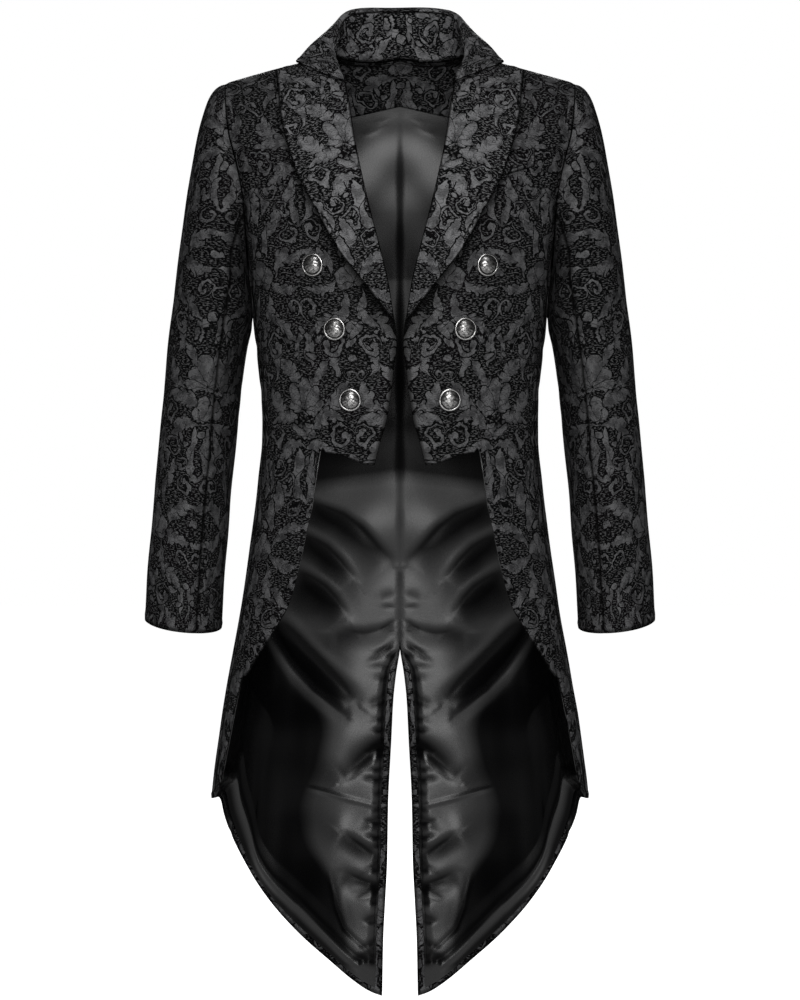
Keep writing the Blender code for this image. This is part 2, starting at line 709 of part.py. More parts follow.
def lapel(along, across):
    """A point of the lapel's face, and the direction out of it."""
    roll_x, roll_z = roll_line(along)
    x = between(roll_x, lapel_edge_x(along), across)
    z = between(roll_z, lapel_edge_z(along), across)
    first_x, first_z = roll_line(0.0)
    fade = (1 - along) ** 3
    x += (lapel_head_x(across) - between(first_x, lapel_edge_x(0.0), across)) * fade
    z += (lapel_head_z(across) - between(first_z, lapel_edge_z(0.0), across)) * fade
    lift = LAPEL_SEAT + LAPEL_WALL + lapel_spring(along) * across ** 1.3
    return on_front(x, z, lift)


def make_lapel(name, jacquard, mirrored):
    rows = [i / LAPEL_ROWS for i in range(LAPEL_ROWS + 1)]
    columns = [(j / LAPEL_COLUMNS) ** 0.9 for j in range(LAPEL_COLUMNS + 1)]
    cells = [[lapel(along, across) for across in columns] for along in rows]
    points = [[point for point, _ in row] for row in cells]
    normals = [[normal for _, normal in row] for row in cells]
    points = draw_in(points, top=SEAM * 3)
    return wall(name, points, normals, LAPEL_WALL, jacquard, mirrored)


collar_curves = {name: curve(COLLAR, COLLAR_COLUMNS, name) for name in COLLAR_COLUMNS[1:]}


def neck_seam(round_share):
    """The neckline, from the centre back over the shoulder seam and down the front, and outwards there."""
    if round_share <= SHOULDER_SHARE:
        x = NECK_X * math.sin(math.pi / 2 * round_share / SHOULDER_SHARE)
        drop = neckline_drop(x)
        turn = turn_at_x(x, drop, True)
    else:
        drop = LAPEL_TOP * ((round_share - SHOULDER_SHARE) / (1 - SHOULDER_SHARE)) ** 2
        turn = turn_at_x(front_edge_x(drop), drop, False)
    return body(turn, drop) + body_normal(turn, drop) * COLLAR_SEAT


def on_shoulder(x, y):
    """The point over this x and y on the top of the shoulders, and the direction outwards there."""
    at_back = y > SIDE_Y

    def short(drop):
        half_width, depth = section(drop, at_back)
        reach = depth * (1 - min(x / half_width, 1.0) ** ROUNDNESS) ** (1 / ROUNDNESS)
        return reach - abs(y - SIDE_Y)

    drop = solve(short, 1e-7, 0.13)
    turn = turn_at_x(x, drop, at_back)
    return body(turn, drop), body_normal(turn, drop)


def clear_of_shoulder(point, lift, share):
    """The point moved out, by this share of what it lacks, to be at least lift off the shoulder."""
    base, normal = on_shoulder(point[0], point[1])
    return point + normal * max(lift - float(np.dot(point - base, normal)), 0.0) * share


def through(knots, share):
    """A smooth line through evenly spaced knots."""
    place = min(max(share, 0.0), 1.0) * (len(knots) - 1)
    i = min(int(place), len(knots) - 2)
    t = place - i
    p1, p2 = knots[i], knots[i + 1]
    p0 = knots[i - 1] if i else 2 * p1 - p2
    p3 = knots[i + 2] if i + 2 < len(knots) else 2 * p2 - p1
    return 0.5 * (2 * p1 + (p2 - p0) * t + (2 * p0 - 5 * p1 + 4 * p2 - p3) * t * t
                  + (3 * p1 - p0 - 3 * p2 + p3) * t ** 3)


def collar(round_share, over):
    """The collar's face: over 0 is the neck seam, then up the stand, over the crest, down the leaf."""
    side = -1.0 if round_share < 0 else 1.0
    place = min(abs(round_share), 1.0)
    seam = neck_seam(place)
    crest = np.array([collar_curves["crest_" + axis](place) for axis in "xyz"])
    leaf, leaf_out = on_shoulder(collar_curves["leaf_x"](place), collar_curves["leaf_y"](place))
    leaf = leaf + leaf_out * collar_curves["leaf_lift"](place)
    out = unit((leaf - seam) * (1.0, 1.0, 0.0))
    up = np.array([0.0, 0.0, 1.0])
    inner = crest - out * COLLAR_FOLD - up * COLLAR_FOLD
    outer = crest + out * COLLAR_FOLD - up * COLLAR_FOLD * 0.6
    bulge = unit(np.cross(np.cross(leaf - crest, up), leaf - crest))
    if bulge[2] < 0:
        bulge = -bulge
    middle = between(outer, leaf, 0.5) + bulge * LEAF_BULGE
    knots = [seam, between(seam, inner, 0.55), inner, crest, outer, middle, leaf]
    flatness = ease((place - FOLD_END[0]) / (FOLD_END[1] - FOLD_END[0]))
    if flatness > 0:
        flat = [between(seam, leaf, share) for share in GORGE_SHARES]
        flat = [clear_of_shoulder(knot, COLLAR_WALL + COLLAR_SEAT, 1.0) for knot in flat]
        flat = [seam, between(seam, flat[0], 0.5)] + flat
        knots = [between(knot, end, flatness) for knot, end in zip(knots, flat)]
    gorge = ease((place - GORGE_START) / (1 - GORGE_START))
    if gorge > 0:
        head = [lapel(0.0, GORGE_END * share)[0] for share in GORGE_SHARES]
        head = [seam, between(seam, head[0], 0.5)] + head
        knots = [between(knot, end, gorge) for knot, end in zip(knots, head)]
    point = through(knots, over)
    on_leaf = max(flatness, ease((over - CREST_OVER) / 0.15))
    if over > STAND_TOP and place > SHOULDER_SHARE:
        point = clear_of_shoulder(point, COLLAR_WALL + COLLAR_SEAT, on_leaf)
    return point * (side, 1.0, 1.0)


def collar_sheet(overs, steps):
    rounds = [i / COLLAR_STEPS for i in range(-steps, steps + 1)]
    points = [[collar(share, over) for share in rounds] for over in overs]
    normals = [[-surface_normal(collar, share, over) for share in rounds] for over in overs]
    return points, normals


def make_collar(jacquard):
    stand_rows = [between(0.0, STAND_TOP, i / STAND_ROWS) for i in range(STAND_ROWS + 1)]
    leaf_rows = [between(STAND_TOP, 1.0, i / LEAF_ROWS) for i in range(LEAF_ROWS + 1)]
    points, normals = collar_sheet(stand_rows, STAND_STEPS)
    points = draw_in(points, top=SEAM / 2, bottom=SEAM * 2)
    wall("collar_stand", points, normals, COLLAR_WALL, jacquard)
    points, normals = collar_sheet(leaf_rows, COLLAR_STEPS)
    points = draw_in(points, top=SEAM / 2, first=GORGE_GAP, last=GORGE_GAP)
    wall("collar_leaf", points, normals, COLLAR_WALL, jacquard)


# ---- sleeves ---------------------------------------------------------------------------------------
sleeve_curves = {name: curve(SLEEVE, SLEEVE_COLUMNS, name) for name in SLEEVE_COLUMNS[1:]}


def armhole_ring():
    """(turn, drop, angle) round the armhole seam at the corners of the body pieces that meet there."""
    ring = []
    for drop in armhole_rows(front_seam_top()):
        ring.append((armhole_turn(drop, False), drop, math.acos(1 - 2 * drop / ARMHOLE_DROP)))
    for turn, drop in side_places()[0][1:-1]:
        angle = math.acos(1 - 2 * drop / ARMHOLE_DROP)
        ring.append((turn, drop, angle if turn <= math.pi / 2 else 2 * math.pi - angle))
    for drop in reversed(armhole_rows(BACK_SEAM_TOP)):
        angle = 2 * math.pi - math.acos(1 - 2 * drop / ARMHOLE_DROP)
        ring.append((armhole_turn(drop, True), drop, angle))
    return ring


def sleeve_ring(angle, along):
    outer = np.array([sleeve_curves["outer_x"](along), 0.0, sleeve_curves["outer_z"](along)])
    under = np.array([sleeve_curves["under_x"](along), 0.0, sleeve_curves["under_z"](along)])
    centre = (outer + under) / 2
    point = centre + (outer - under) / 2 * math.cos(angle)
    point[1] = sleeve_curves["centre_y"](along) - sleeve_curves["half_depth"](along) * math.sin(angle)
    point[2] -= sleeve_curves["dip"](along) * math.sin(angle)
    return point


def armhole_point(angle):
    drop = ARMHOLE_DROP / 2 * (1 - math.cos(angle))
    at_back = angle > math.pi
    return body(armhole_turn(drop, at_back), drop)


def sleeve(angle, along):
    """The sleeve's outside: it starts as the armhole seam and becomes an even tube."""
    angle = angle % (2 * math.pi)
    fade = max(1 - along / CROWN_BLEND, 0.0) ** 2
    return sleeve_ring(angle, along) + (armhole_point(angle) - sleeve_ring(angle, 0.0)) * fade


def sleeve_sheet(ring):
    rows = [(i / SLEEVE_ROWS) ** 1.25 for i in range(SLEEVE_ROWS + 1)]
    points, normals = [], []
    for along in rows:
        points.append([sleeve(angle, along) for _, _, angle in ring])
        normals.append([-surface_normal(sleeve, angle, along) for _, _, angle in ring])
    for i, (turn, drop, angle) in enumerate(ring):
        outwards = body_normal(turn, drop)
        further = armhole_point(min(angle + 0.01, 2 * math.pi))
        seam_line = unit(further - armhole_point(max(angle - 0.01, 0.0)))
        across = unit(np.cross(outwards, seam_line))
        if np.dot(across, points[1][i] - points[0][i]) < 0:
            across = -across
        normal = normals[0][i]
        normals[0][i] = unit(normal - across * max(np.dot(normal, across), 0.0))
        clearance = max(-float(np.dot(normal, outwards)), 0.0) * UNDERARM_CLEARANCE
        points[0][i] = points[0][i] + across * SEAM + outwards * clearance
    return points, normals


def make_sleeve(names, jacquard, mirrored):
    ring = armhole_ring()
    points, normals = sleeve_sheet(ring)
    under_first = ROWS_ABOVE - UNDER_SLEEVE_STEPS + 2
    under_last = ROWS_ABOVE + SIDE_COLUMNS + UNDER_SLEEVE_STEPS - 2
    under = slice(under_first, under_last + 1)
    under_points = [row[under] for row in points]
    under_normals = [row[under] for row in normals]
    top_points = [row[under_last:-1] + row[: under_first + 1] for row in points]
    top_normals = [row[under_last:-1] + row[: under_first + 1] for row in normals]
    for name, sheet, out in ((names[0], top_points, top_normals), (names[1], under_points, under_normals)):
        sheet = draw_in(sheet, first=SEAM / 2, last=SEAM / 2)
        wall(name, sheet, out, SHELL, jacquard, mirrored)


# ---- welt and buttons ------------------------------------------------------------------------------
def make_welt(jacquard):
    (inner_x, inner_z), (outer_x, outer_z) = WELT_CORNERS
    points, normals = [], []
    for i in range(WELT_ROWS + 1):
        row = []
        for j in range(WELT_COLUMNS + 1):
            x = between(inner_x, outer_x, j / WELT_COLUMNS)
            z = between(inner_z, outer_z, j / WELT_COLUMNS) + WELT_HEIGHT * (1 - i / WELT_ROWS)
            row.append(on_front(x, z, WELT_WALL + SEAM))
        points.append([point for point, _ in row])
        normals.append([normal for _, normal in row])
    return wall("breast_welt", points, normals, WELT_WALL, jacquard)


def make_button(name, x, z, metal, mirrored):
    """A turned button: its profile is spun round its own axis and set on the forepart."""
    turned = bmesh.new()
    profile = [turned.verts.new((radius, 0.0, height)) for radius, height in BUTTON]
    edges = [turned.edges.new(pair) for pair in zip(profile, profile[1:])]
    bmesh.ops.spin(turned, geom=profile + edges, axis=(0, 0, 1), cent=(0, 0, 0),
                   angle=2 * math.pi, steps=BUTTON_SIDES, use_merge=True)
    bmesh.ops.remove_doubles(turned, verts=list(turned.verts), dist=1e-6)
    bmesh.ops.holes_fill(turned, edges=[edge for edge in turned.edges if edge.is_boundary], sides=0)
    for face in [face for face in turned.faces if len(face.verts) == BUTTON_SIDES]:
        if face.calc_center_median().z > BUTTON[-1][1] - 1e-5:
            crown = bmesh.ops.poke(turned, faces=[face])["verts"][0]
            crown.co.z = BUTTON_TOP
    point, normal = on_front(x, z, SEAM)
    if mirrored:
        point, normal = point * [-1, 1, 1], normal * [-1, 1, 1]
    place = Matrix.Translation(Vector(point)) @ Vector(normal).to_track_quat("Z", "Y").to_matrix().to_4x4()
    bmesh.ops.triangulate(turned, faces=list(turned.faces))
    bmesh.ops.recalc_face_normals(turned, faces=list(turned.faces))
    mesh = bpy.data.meshes.new(name)
    turned.to_mesh(mesh)
    turned.free()
    mesh.shade_smooth()
    mesh.materials.append(metal)
    button = bpy.data.objects.new(name, mesh)
    button.matrix_world = place
    bpy.context.scene.collection.objects.link(button)
    return button


# ---- the coat --------------------------------------------------------------------------------------
def build():
    for thing in list(bpy.data.objects):
        bpy.data.objects.remove(thing, do_unlink=True)
    jacquard = cloth_material("black_jacquard", (0.018, 0.018, 0.019), 0.62)
    satin = cloth_material("black_satin", (0.012, 0.012, 0.013), 0.33)
    metal = cloth_material("antique_silver", (0.42, 0.41, 0.40), 0.34, 1.0)
    for label, mirrored in (("left", False), ("right", True)):
        make_front("front_" + label, jacquard, mirrored)
        make_side("side_" + label, jacquard, mirrored)
        make_back("back_" + label, jacquard, mirrored)
        make_lining("lining_" + label, satin, mirrored)
        make_lapel("lapel_" + label, jacquard, mirrored)
        make_sleeve(("top_sleeve_" + label, "under_sleeve_" + label), jacquard, mirrored)
        for number, (x, z) in enumerate(BUTTON_PLACES, start=1):
            make_button(f"button_{label}_{number}", x, z, metal, mirrored)
    make_collar(jacquard)
    make_neck_facing(jacquard)
    make_welt(jacquard)


build()
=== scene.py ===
"""Looks of the black jacquard tailcoat: finer cloth on the part's solids, with creases, sewing and materials.

Lengths are metres. +X is the wearer's left, -Y the front, +Z up. The tables and the surfaces up to the mark
"finer cloth" are those that the part's solids were cut from, so each finer piece lies where its solid is.
"""
import functools
import math
import random

import bmesh
import bpy
import numpy as np
from mathutils import Matrix, Vector


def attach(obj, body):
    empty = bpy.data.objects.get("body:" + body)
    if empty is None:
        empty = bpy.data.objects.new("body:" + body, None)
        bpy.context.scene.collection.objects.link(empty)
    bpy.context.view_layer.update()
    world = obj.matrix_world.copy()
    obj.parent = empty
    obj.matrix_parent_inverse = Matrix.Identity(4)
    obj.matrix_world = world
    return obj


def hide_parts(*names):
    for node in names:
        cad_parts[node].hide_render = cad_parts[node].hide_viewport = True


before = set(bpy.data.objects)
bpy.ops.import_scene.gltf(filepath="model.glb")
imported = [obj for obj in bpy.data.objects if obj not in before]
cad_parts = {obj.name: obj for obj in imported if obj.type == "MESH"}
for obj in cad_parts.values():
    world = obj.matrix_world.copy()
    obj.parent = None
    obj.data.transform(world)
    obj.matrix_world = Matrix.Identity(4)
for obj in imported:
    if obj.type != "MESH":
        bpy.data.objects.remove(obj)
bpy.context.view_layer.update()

# ---- cloth and seams -------------------------------------------------------------------------------
SHELL = 0.0018            # jacquard with its interlining
SATIN = 0.0010            # lining
SEAM = 0.0003             # what is left between two sewn pieces
LINING_EASE = 0.0028      # between the shell's inside and the lining
FACING_EASE = 0.0012      # between the shell's inside and the neck facing
LINING_INSET = 0.009      # the shell turned in along the tail's hem and vent, beside the lining
FACING_WALL = 0.0014      # back neck facing, on the shell's inside
LAPEL_WALL = 0.0020
COLLAR_WALL = 0.0022      # top collar and canvas
# ---- the body surface ------------------------------------------------------------------------------
ROUNDNESS = 2.4           # exponent of the body's level sections: 2 is an ellipse
SIDE_Y = 0.008            # where the sides and the shoulder ridge lie, front to back
SHOULDER_RISE = 0.028     # height of the ridge line at the neck's centre
SHOULDER_SLOPE = 0.27     # fall of the ridge line for each metre outwards
CHEST_DROP = 0.210        # how far below the shoulder the chest is fullest
BLADE_DROP = 0.140        # and the back
ARMHOLE_DROP = 0.262      # underarm
ARMHOLE_DEPTH = 0.124     # armhole, front to back
NECK_X = 0.080            # neck point of the shoulder seam
BACK_NECK_DROP = 0.020    # centre-back neck
# level: below the neck; half_width: side silhouette; front, back: at the centre
BODY_COLUMNS = ("level", "half_width", "front", "back")
BODY = (
    (0.262, 0.1800, -0.1180, 0.1100),
    (0.300, 0.1768, -0.1175, 0.1050),
    (0.335, 0.1738, -0.1165, 0.0990),
    (0.382, 0.1682, -0.1130, 0.0900),
    (0.430, 0.1656, -0.1080, 0.0850),
    (0.455, 0.1658, -0.1060, 0.0850),
    (0.502, 0.1706, -0.1060, 0.0900),
    (0.551, 0.1767, -0.1080, 0.0980),
    (0.599, 0.1830, -0.1100, 0.1060),
    (0.647, 0.1902, -0.1110, 0.1120),
    (0.696, 0.1988, -0.1110, 0.1150),
    (0.744, 0.2074, -0.1110, 0.1165),
    (0.793, 0.2160, -0.1110, 0.1175),
    (0.848, 0.2234, -0.1110, 0.1180),
    (0.900, 0.2290, -0.1110, 0.1180),
    (1.160, 0.2390, -0.1110, 0.1150),
)
# armhole seam: half width of the body along it
ARMHOLE_COLUMNS = ("drop", "x")
ARMHOLE = (
    (0.000, 0.2085),
    (0.040, 0.2055),
    (0.070, 0.2020),
    (0.105, 0.1945),
    (0.135, 0.1885),
    (0.180, 0.1830),
    (0.220, 0.1812),
    (0.262, 0.1800),
)
# soft upright folds of the tails: turn and half width in degrees, depth outwards, level where each starts
TAIL_FOLD_COLUMNS = ("turn", "width", "depth", "start")
TAIL_FOLDS = (
    (164.0, 9.0, 0.0050, 0.62),
    (146.0, 8.0, -0.0060, 0.58),
    (127.0, 9.0, 0.0060, 0.70),
)
FOLD_GROWTH = 0.30        # length over which a fold deepens
# ---- seams and edges of the body pieces ------------------------------------------------------------
SIDE_SEAM_COLUMNS = ("drop", "side_front", "side_back")
SIDE_SEAMS = (
    (0.190, 78.0, 118.7),
    (0.262, 78.0, 121.5),
    (0.330, 76.0, 124.5),
    (0.430, 74.0, 128.0),
    (0.560, 75.0, 127.0),
    (0.750, 77.0, 123.0),
    (0.881, 78.0, 119.0),
    (1.160, 78.0, 113.0),
)
BACK_SEAM_TOP = 0.190     # drop at which the side-back seam leaves the armhole
# neckline, then the lapel's roll line, then the open front edge down to the hem's corner
FRONT_EDGE_COLUMNS = ("drop", "x")
FRONT_EDGE = (
    (0.000, 0.0800),
    (0.010, 0.0760),
    (0.028, 0.0690),
    (0.048, 0.0635),
    (0.075, 0.0585),
    (0.109, 0.0533),
    (0.158, 0.0427),
    (0.190, 0.0345),
    (0.236, 0.0219),
    (0.270, 0.0138),
    (0.300, 0.0092),
    (0.327, 0.0050),
    (0.343, 0.0042),
    (0.363, 0.0069),
    (0.391, 0.0100),
    (0.425, 0.0151),
    (0.454, 0.0232),
    (0.481, 0.0302),
)
# (x, level) along the forepart's hem from its front corner, then down the cut-away towards the side
HEM_CORNER = (0.0935, 0.4655)
FRONT_BOTTOM = (
    (0.0302, 0.4808),
    (0.0453, 0.4785),
    (0.0604, 0.4716),
    (0.0790, 0.4670),
    HEM_CORNER,
    (0.0989, 0.4997),
    (0.1036, 0.5369),
    (0.1129, 0.5742),
    (0.1201, 0.6152),
    (0.1320, 0.6496),
    (0.1489, 0.6787),
    (0.1649, 0.7023),
    (0.1777, 0.7244),
    (0.1885, 0.7380),
    (0.1940, 0.7550),
    (0.2000, 0.7887),
    (0.2055, 0.8218),
    (0.2098, 0.8487),
    (0.2158, 0.8700),
)
SIDE_SEAM_END = 0.8810    # level where the cut-away reaches the side seam
# the hem runs on round the side, as (turn, level), and then across the tail to its tip, as (x, level)
TAIL_CUT = ((78.0, SIDE_SEAM_END), (85.0, 0.8845), (95.0, 0.8890))
TAIL_HEM = (
    (0.2209, 0.8916),
    (0.2150, 0.9194),
    (0.2063, 0.9466),
    (0.1950, 0.9740),
    (0.1808, 1.0008),
    (0.1617, 1.0287),
    (0.1398, 1.0558),
    (0.1163, 1.0820),
    (0.0889, 1.1079),
    (0.0589, 1.1336),
    (0.0389, 1.1468),
    (0.0238, 1.1531),
)
VENT_COLUMNS = ("level", "x")
VENT = (
    (0.000, 0.0000),
    (0.700, 0.0000),
    (0.722, 0.0002),
    (0.731, 0.0025),
    (0.756, 0.0062),
    (0.781, 0.0087),
    (0.832, 0.0112),
    (0.907, 0.0150),
    (0.983, 0.0163),
    (1.033, 0.0188),
    (1.084, 0.0213),
    (1.160, 0.0227),
)
FACING_BOTTOM = 0.069     # drop of the neck facing's lower edge
FACING_X = 0.084          # and its half width there
FACING_TOP = 0.0015       # how far it stays below the neckline
LINING_TOP = 0.003        # drop of the lining's edge at the shoulder seam
LINING_TURN = 2.4         # degrees by which the lining stays back from the side-front seam
LINING_HEM_TURN = 130.0   # turn from which the hem's inset is square to the hem alone
LINING_VENT = (0.705, 0.745)   # levels between which the lining draws back from the vent
# ---- lapels: outer edge, and how far the turned-over cloth stands off the forepart ------------------
LAPEL_TOP = 0.0480        # drop at which the gorge leaves the roll line
LAPEL_BREAK = 0.3050      # drop at which the lapel starts to turn over
LAPEL_EDGE_COLUMNS = ("along", "x", "z")
LAPEL_EDGE = (
    (0.00, 0.1457, -0.0210),
    (0.08, 0.1410, -0.0384),
    (0.19, 0.1376, -0.0677),
    (0.31, 0.1310, -0.0997),
    (0.37, 0.1261, -0.1153),
    (0.48, 0.1165, -0.1438),
    (0.56, 0.1047, -0.1662),
    (0.67, 0.0862, -0.1998),
    (0.76, 0.0700, -0.2310),
    (0.84, 0.0516, -0.2585),
    (0.91, 0.0333, -0.2803),
    (0.96, 0.0184, -0.2986),
    (1.00, 0.0094, -0.3099),
)
# top edge from the roll line outwards: the gorge seam as far as the collar's end, then a free edge
LAPEL_HEAD_COLUMNS = ("across", "x", "z")
LAPEL_HEAD = (
    (0.00, 0.0640, -0.0370),
    (0.35, 0.0880, -0.0270),
    (0.66, 0.1120, -0.0150),
    (0.85, 0.1300, -0.0150),
    (1.00, 0.1457, -0.0210),
)
GORGE_END = 0.66          # how far across the lapel the collar reaches
LAPEL_SPRING_COLUMNS = ("along", "rise")
LAPEL_SPRING = ((0.00, 0.0026), (0.30, 0.0040), (0.60, 0.0085), (0.85, 0.0105), (1.00, 0.0030))
LAPEL_SEAT = 0.0004       # between the forepart and the lapel at the roll line
# ---- collar: crest of the fold and edge of the leaf, from the centre back round to the gorge --------
COLLAR_COLUMNS = ("round", "crest_x", "crest_y", "crest_z", "leaf_x", "leaf_y", "leaf_lift")
COLLAR = (
    (0.00, 0.0000, 0.0680, 0.0690, 0.0000, 0.0860, 0.0050),
    (0.18, 0.0300, 0.0650, 0.0682, 0.0450, 0.0840, 0.0050),
    (0.36, 0.0580, 0.0510, 0.0640, 0.0840, 0.0680, 0.0050),
    (0.54, 0.0740, 0.0280, 0.0500, 0.1120, 0.0400, 0.0045),
    (0.70, 0.0770, -0.0060, 0.0270, 0.1230, 0.0080, 0.0040),
    (0.86, 0.0720, -0.0370, -0.0010, 0.1210, -0.0120, 0.0036),
    (1.00, 0.0650, -0.0600, -0.0330, 0.1120, -0.0260, 0.0036),
)
SHOULDER_SHARE = 0.66     # share of the way round at which the collar passes the shoulder seam
COLLAR_SEAT = 0.0010      # between the neckline and the stand
COLLAR_FOLD = 0.0054      # half width of the fold at its crest
LEAF_BULGE = 0.0055       # how far the leaf rounds out between crest and edge
STAND_TOP = 0.34          # share of the collar's section that is the stand
CREST_OVER = 0.50         # share at which it passes the crest
FOLD_END = (0.68, 0.86)   # shares of the way round between which the fold dies away to a flat leaf
GORGE_START = 0.86        # share of the way round from which the flat leaf turns into the gorge seam
GORGE_SHARES = (0.0, 0.06, 0.20, 0.55, 1.0)   # the leaf's section where it is flat, roll line outwards
# ---- sleeves: the outer and the under line of the sleeve, and its depth front to back ---------------
SLEEVE_COLUMNS = ("along", "outer_x", "outer_z", "under_x", "under_z", "centre_y", "half_depth", "dip")
SLEEVE = (
    (0.00, 0.2085, -0.0283, 0.1800, -0.2620, 0.0080, 0.0620, 0.0000),
    (0.03, 0.2190, -0.0340, 0.1808, -0.2700, 0.0080, 0.0640, 0.0000),
    (0.07, 0.2268, -0.0440, 0.1801, -0.2790, 0.0070, 0.0655, 0.0000),
    (0.13, 0.2355, -0.0680, 0.1793, -0.2900, 0.0060, 0.0670, 0.0000),
    (0.20, 0.2440, -0.1000, 0.1785, -0.3020, 0.0050, 0.0680, 0.0000),
    (0.30, 0.2525, -0.1480, 0.1780, -0.3200, 0.0040, 0.0670, 0.0000),
    (0.40, 0.2610, -0.2080, 0.1826, -0.3450, 0.0030, 0.0650, 0.0000),
    (0.52, 0.2710, -0.2850, 0.1893, -0.3880, 0.0020, 0.0610, 0.0000),
    (0.65, 0.2822, -0.3850, 0.1960, -0.4580, 0.0010, 0.0570, 0.0000),
    (0.80, 0.2925, -0.5000, 0.2043, -0.5450, -0.0060, 0.0535, 0.0010),
    (0.90, 0.2988, -0.5750, 0.2088, -0.6050, -0.0130, 0.0510, 0.0030),
    (1.00, 0.3047, -0.6670, 0.2130, -0.6780, -0.0210, 0.0480, 0.0060),
)
CROWN_BLEND = 0.20        # share of the sleeve over which the armhole's shape fades out
# ---- pocket welt and buttons -----------------------------------------------------------------------
WELT_CORNERS = ((0.100, -0.1510), (0.1560, -0.1340))   # lower edge, inner and outer end (x, z)
WELT_HEIGHT = 0.0215
WELT_WALL = 0.0016
BUTTON_PLACES = ((0.0999, -0.2492), (0.0748, -0.3231), (0.0571, -0.4048))


def curve(table, columns, name):
    """A smooth curve through the named column, read against the first one; it never overshoots."""
    x = np.array([row[0] for row in table])
    y = np.array([row[columns.index(name)] for row in table])
    step = np.diff(x)
    rise = np.diff(y) / step
    slope = np.zeros(len(x))
    for i in range(1, len(x) - 1):
        if rise[i - 1] * rise[i] > 0:
            before = 2 * step[i] + step[i - 1]
            after = step[i] + 2 * step[i - 1]
            slope[i] = (before + after) / (before / rise[i - 1] + after / rise[i])
    slope[0] = rise[0]
    slope[-1] = rise[-1]

    def at(place):
        place = min(max(place, x[0]), x[-1])
        i = min(int(np.searchsorted(x, place, side="right")) - 1, len(step) - 1)
        t = (place - x[i]) / step[i]
        start = y[i] * (1 + 2 * t) * (1 - t) ** 2 + slope[i] * step[i] * t * (1 - t) ** 2
        end = y[i + 1] * (3 - 2 * t) * t ** 2 - slope[i + 1] * step[i] * (1 - t) * t ** 2
        return float(start + end)

    return at


def solve(miss, low, high):
    """The place between low and high where miss changes sign, or the nearer end."""
    if miss(low) >= 0:
        return low
    if miss(high) <= 0:
        return high
    for _ in range(40):
        middle = (low + high) / 2
        if miss(middle) < 0:
            low = middle
        else:
            high = middle
    return (low + high) / 2


def ease(share):
    """0 to 1 with soft ends."""
    share = min(max(share, 0.0), 1.0)
    return share * share * (3 - 2 * share)


# ---- the body surface ------------------------------------------------------------------------------
half_width_at = curve(BODY, BODY_COLUMNS, "half_width")
front_at = curve(BODY, BODY_COLUMNS, "front")
back_at = curve(BODY, BODY_COLUMNS, "back")
armhole_x = curve(ARMHOLE, ARMHOLE_COLUMNS, "x")
side_front_turn = curve(SIDE_SEAMS, SIDE_SEAM_COLUMNS, "side_front")
side_back_turn = curve(SIDE_SEAMS, SIDE_SEAM_COLUMNS, "side_back")
front_edge_x = curve(FRONT_EDGE, FRONT_EDGE_COLUMNS, "x")
vent_x = curve(VENT, VENT_COLUMNS, "x")


def armhole_reach(drop):
    """How far the armhole seam lies in front of and behind the side line."""
    share = min(max(1 - 2 * drop / ARMHOLE_DROP, -1.0), 1.0)
    return ARMHOLE_DEPTH / 2 * math.sqrt(1 - share * share)


def section(drop, at_back):
    """Half width and depth of the body's section, on its front or its back half."""
    if drop >= ARMHOLE_DROP:
        centre = back_at(drop) if at_back else front_at(drop)
        return half_width_at(drop), abs(centre - SIDE_Y)
    drop = max(drop, 1e-10)
    fullest = BLADE_DROP if at_back else CHEST_DROP
    depth = abs((back_at if at_back else front_at)(ARMHOLE_DROP) - SIDE_Y)
    depth *= math.sqrt(1 - (1 - min(drop / fullest, 1.0)) ** 2)
    cut = (armhole_reach(drop) / depth) ** ROUNDNESS
    return armhole_x(drop) / (1 - cut) ** (1 / ROUNDNESS), depth


def tail_fold(turn, drop):
    push = 0.0
    for row in TAIL_FOLDS:
        fold = dict(zip(TAIL_FOLD_COLUMNS, row))
        offset = (math.degrees(turn) - fold["turn"]) / fold["width"]
        push += fold["depth"] * math.exp(-offset * offset) * ease((drop - fold["start"]) / FOLD_GROWTH)
    return push


def body(turn, drop):
    """A point of the body surface; turns past 180 degrees are on the wearer's right."""
    side = 1.0
    if turn > math.pi:
        turn, side = 2 * math.pi - turn, -1.0
    at_back = turn > math.pi / 2
    half_width, depth = section(drop, at_back)
    x = half_width * abs(math.sin(turn)) ** (2 / ROUNDNESS)
    y = depth * abs(math.cos(turn)) ** (2 / ROUNDNESS)
    if at_back:
        y += tail_fold(turn, drop)
    ridge = SHOULDER_RISE - SHOULDER_SLOPE * x
    z = ridge * (1 - ease(drop / ARMHOLE_DROP)) - drop
    return np.array([side * x, SIDE_Y + (y if at_back else -y), z])


def unit(vector):
    return vector / np.linalg.norm(vector)


def surface_normal(place, u, v, small=1e-4):
    """The direction square to a surface at (u, v), from its own slopes; v only ever steps up from 0."""
    v_low = max(v - small, 0.0)
    along_u = place(u + small, v) - place(u - small, v)
    along_v = place(u, v + small) - place(u, v_low)
    return unit(np.cross(along_v, along_u))


def body_normal(turn, drop):
    """Outwards from the body; the drop is taken as a square so that the ridge has a direction too."""
    return surface_normal(lambda t, root: body(t, root * root), turn, math.sqrt(drop), 5e-4)


def turn_at_x(x, drop, at_back):
    half_width, _ = section(drop, at_back)
    turn = math.asin(min(x / half_width, 1.0) ** (ROUNDNESS / 2))
    return math.pi - turn if at_back else turn


def armhole_turn(drop, at_back):
    return turn_at_x(armhole_x(drop), drop, at_back)


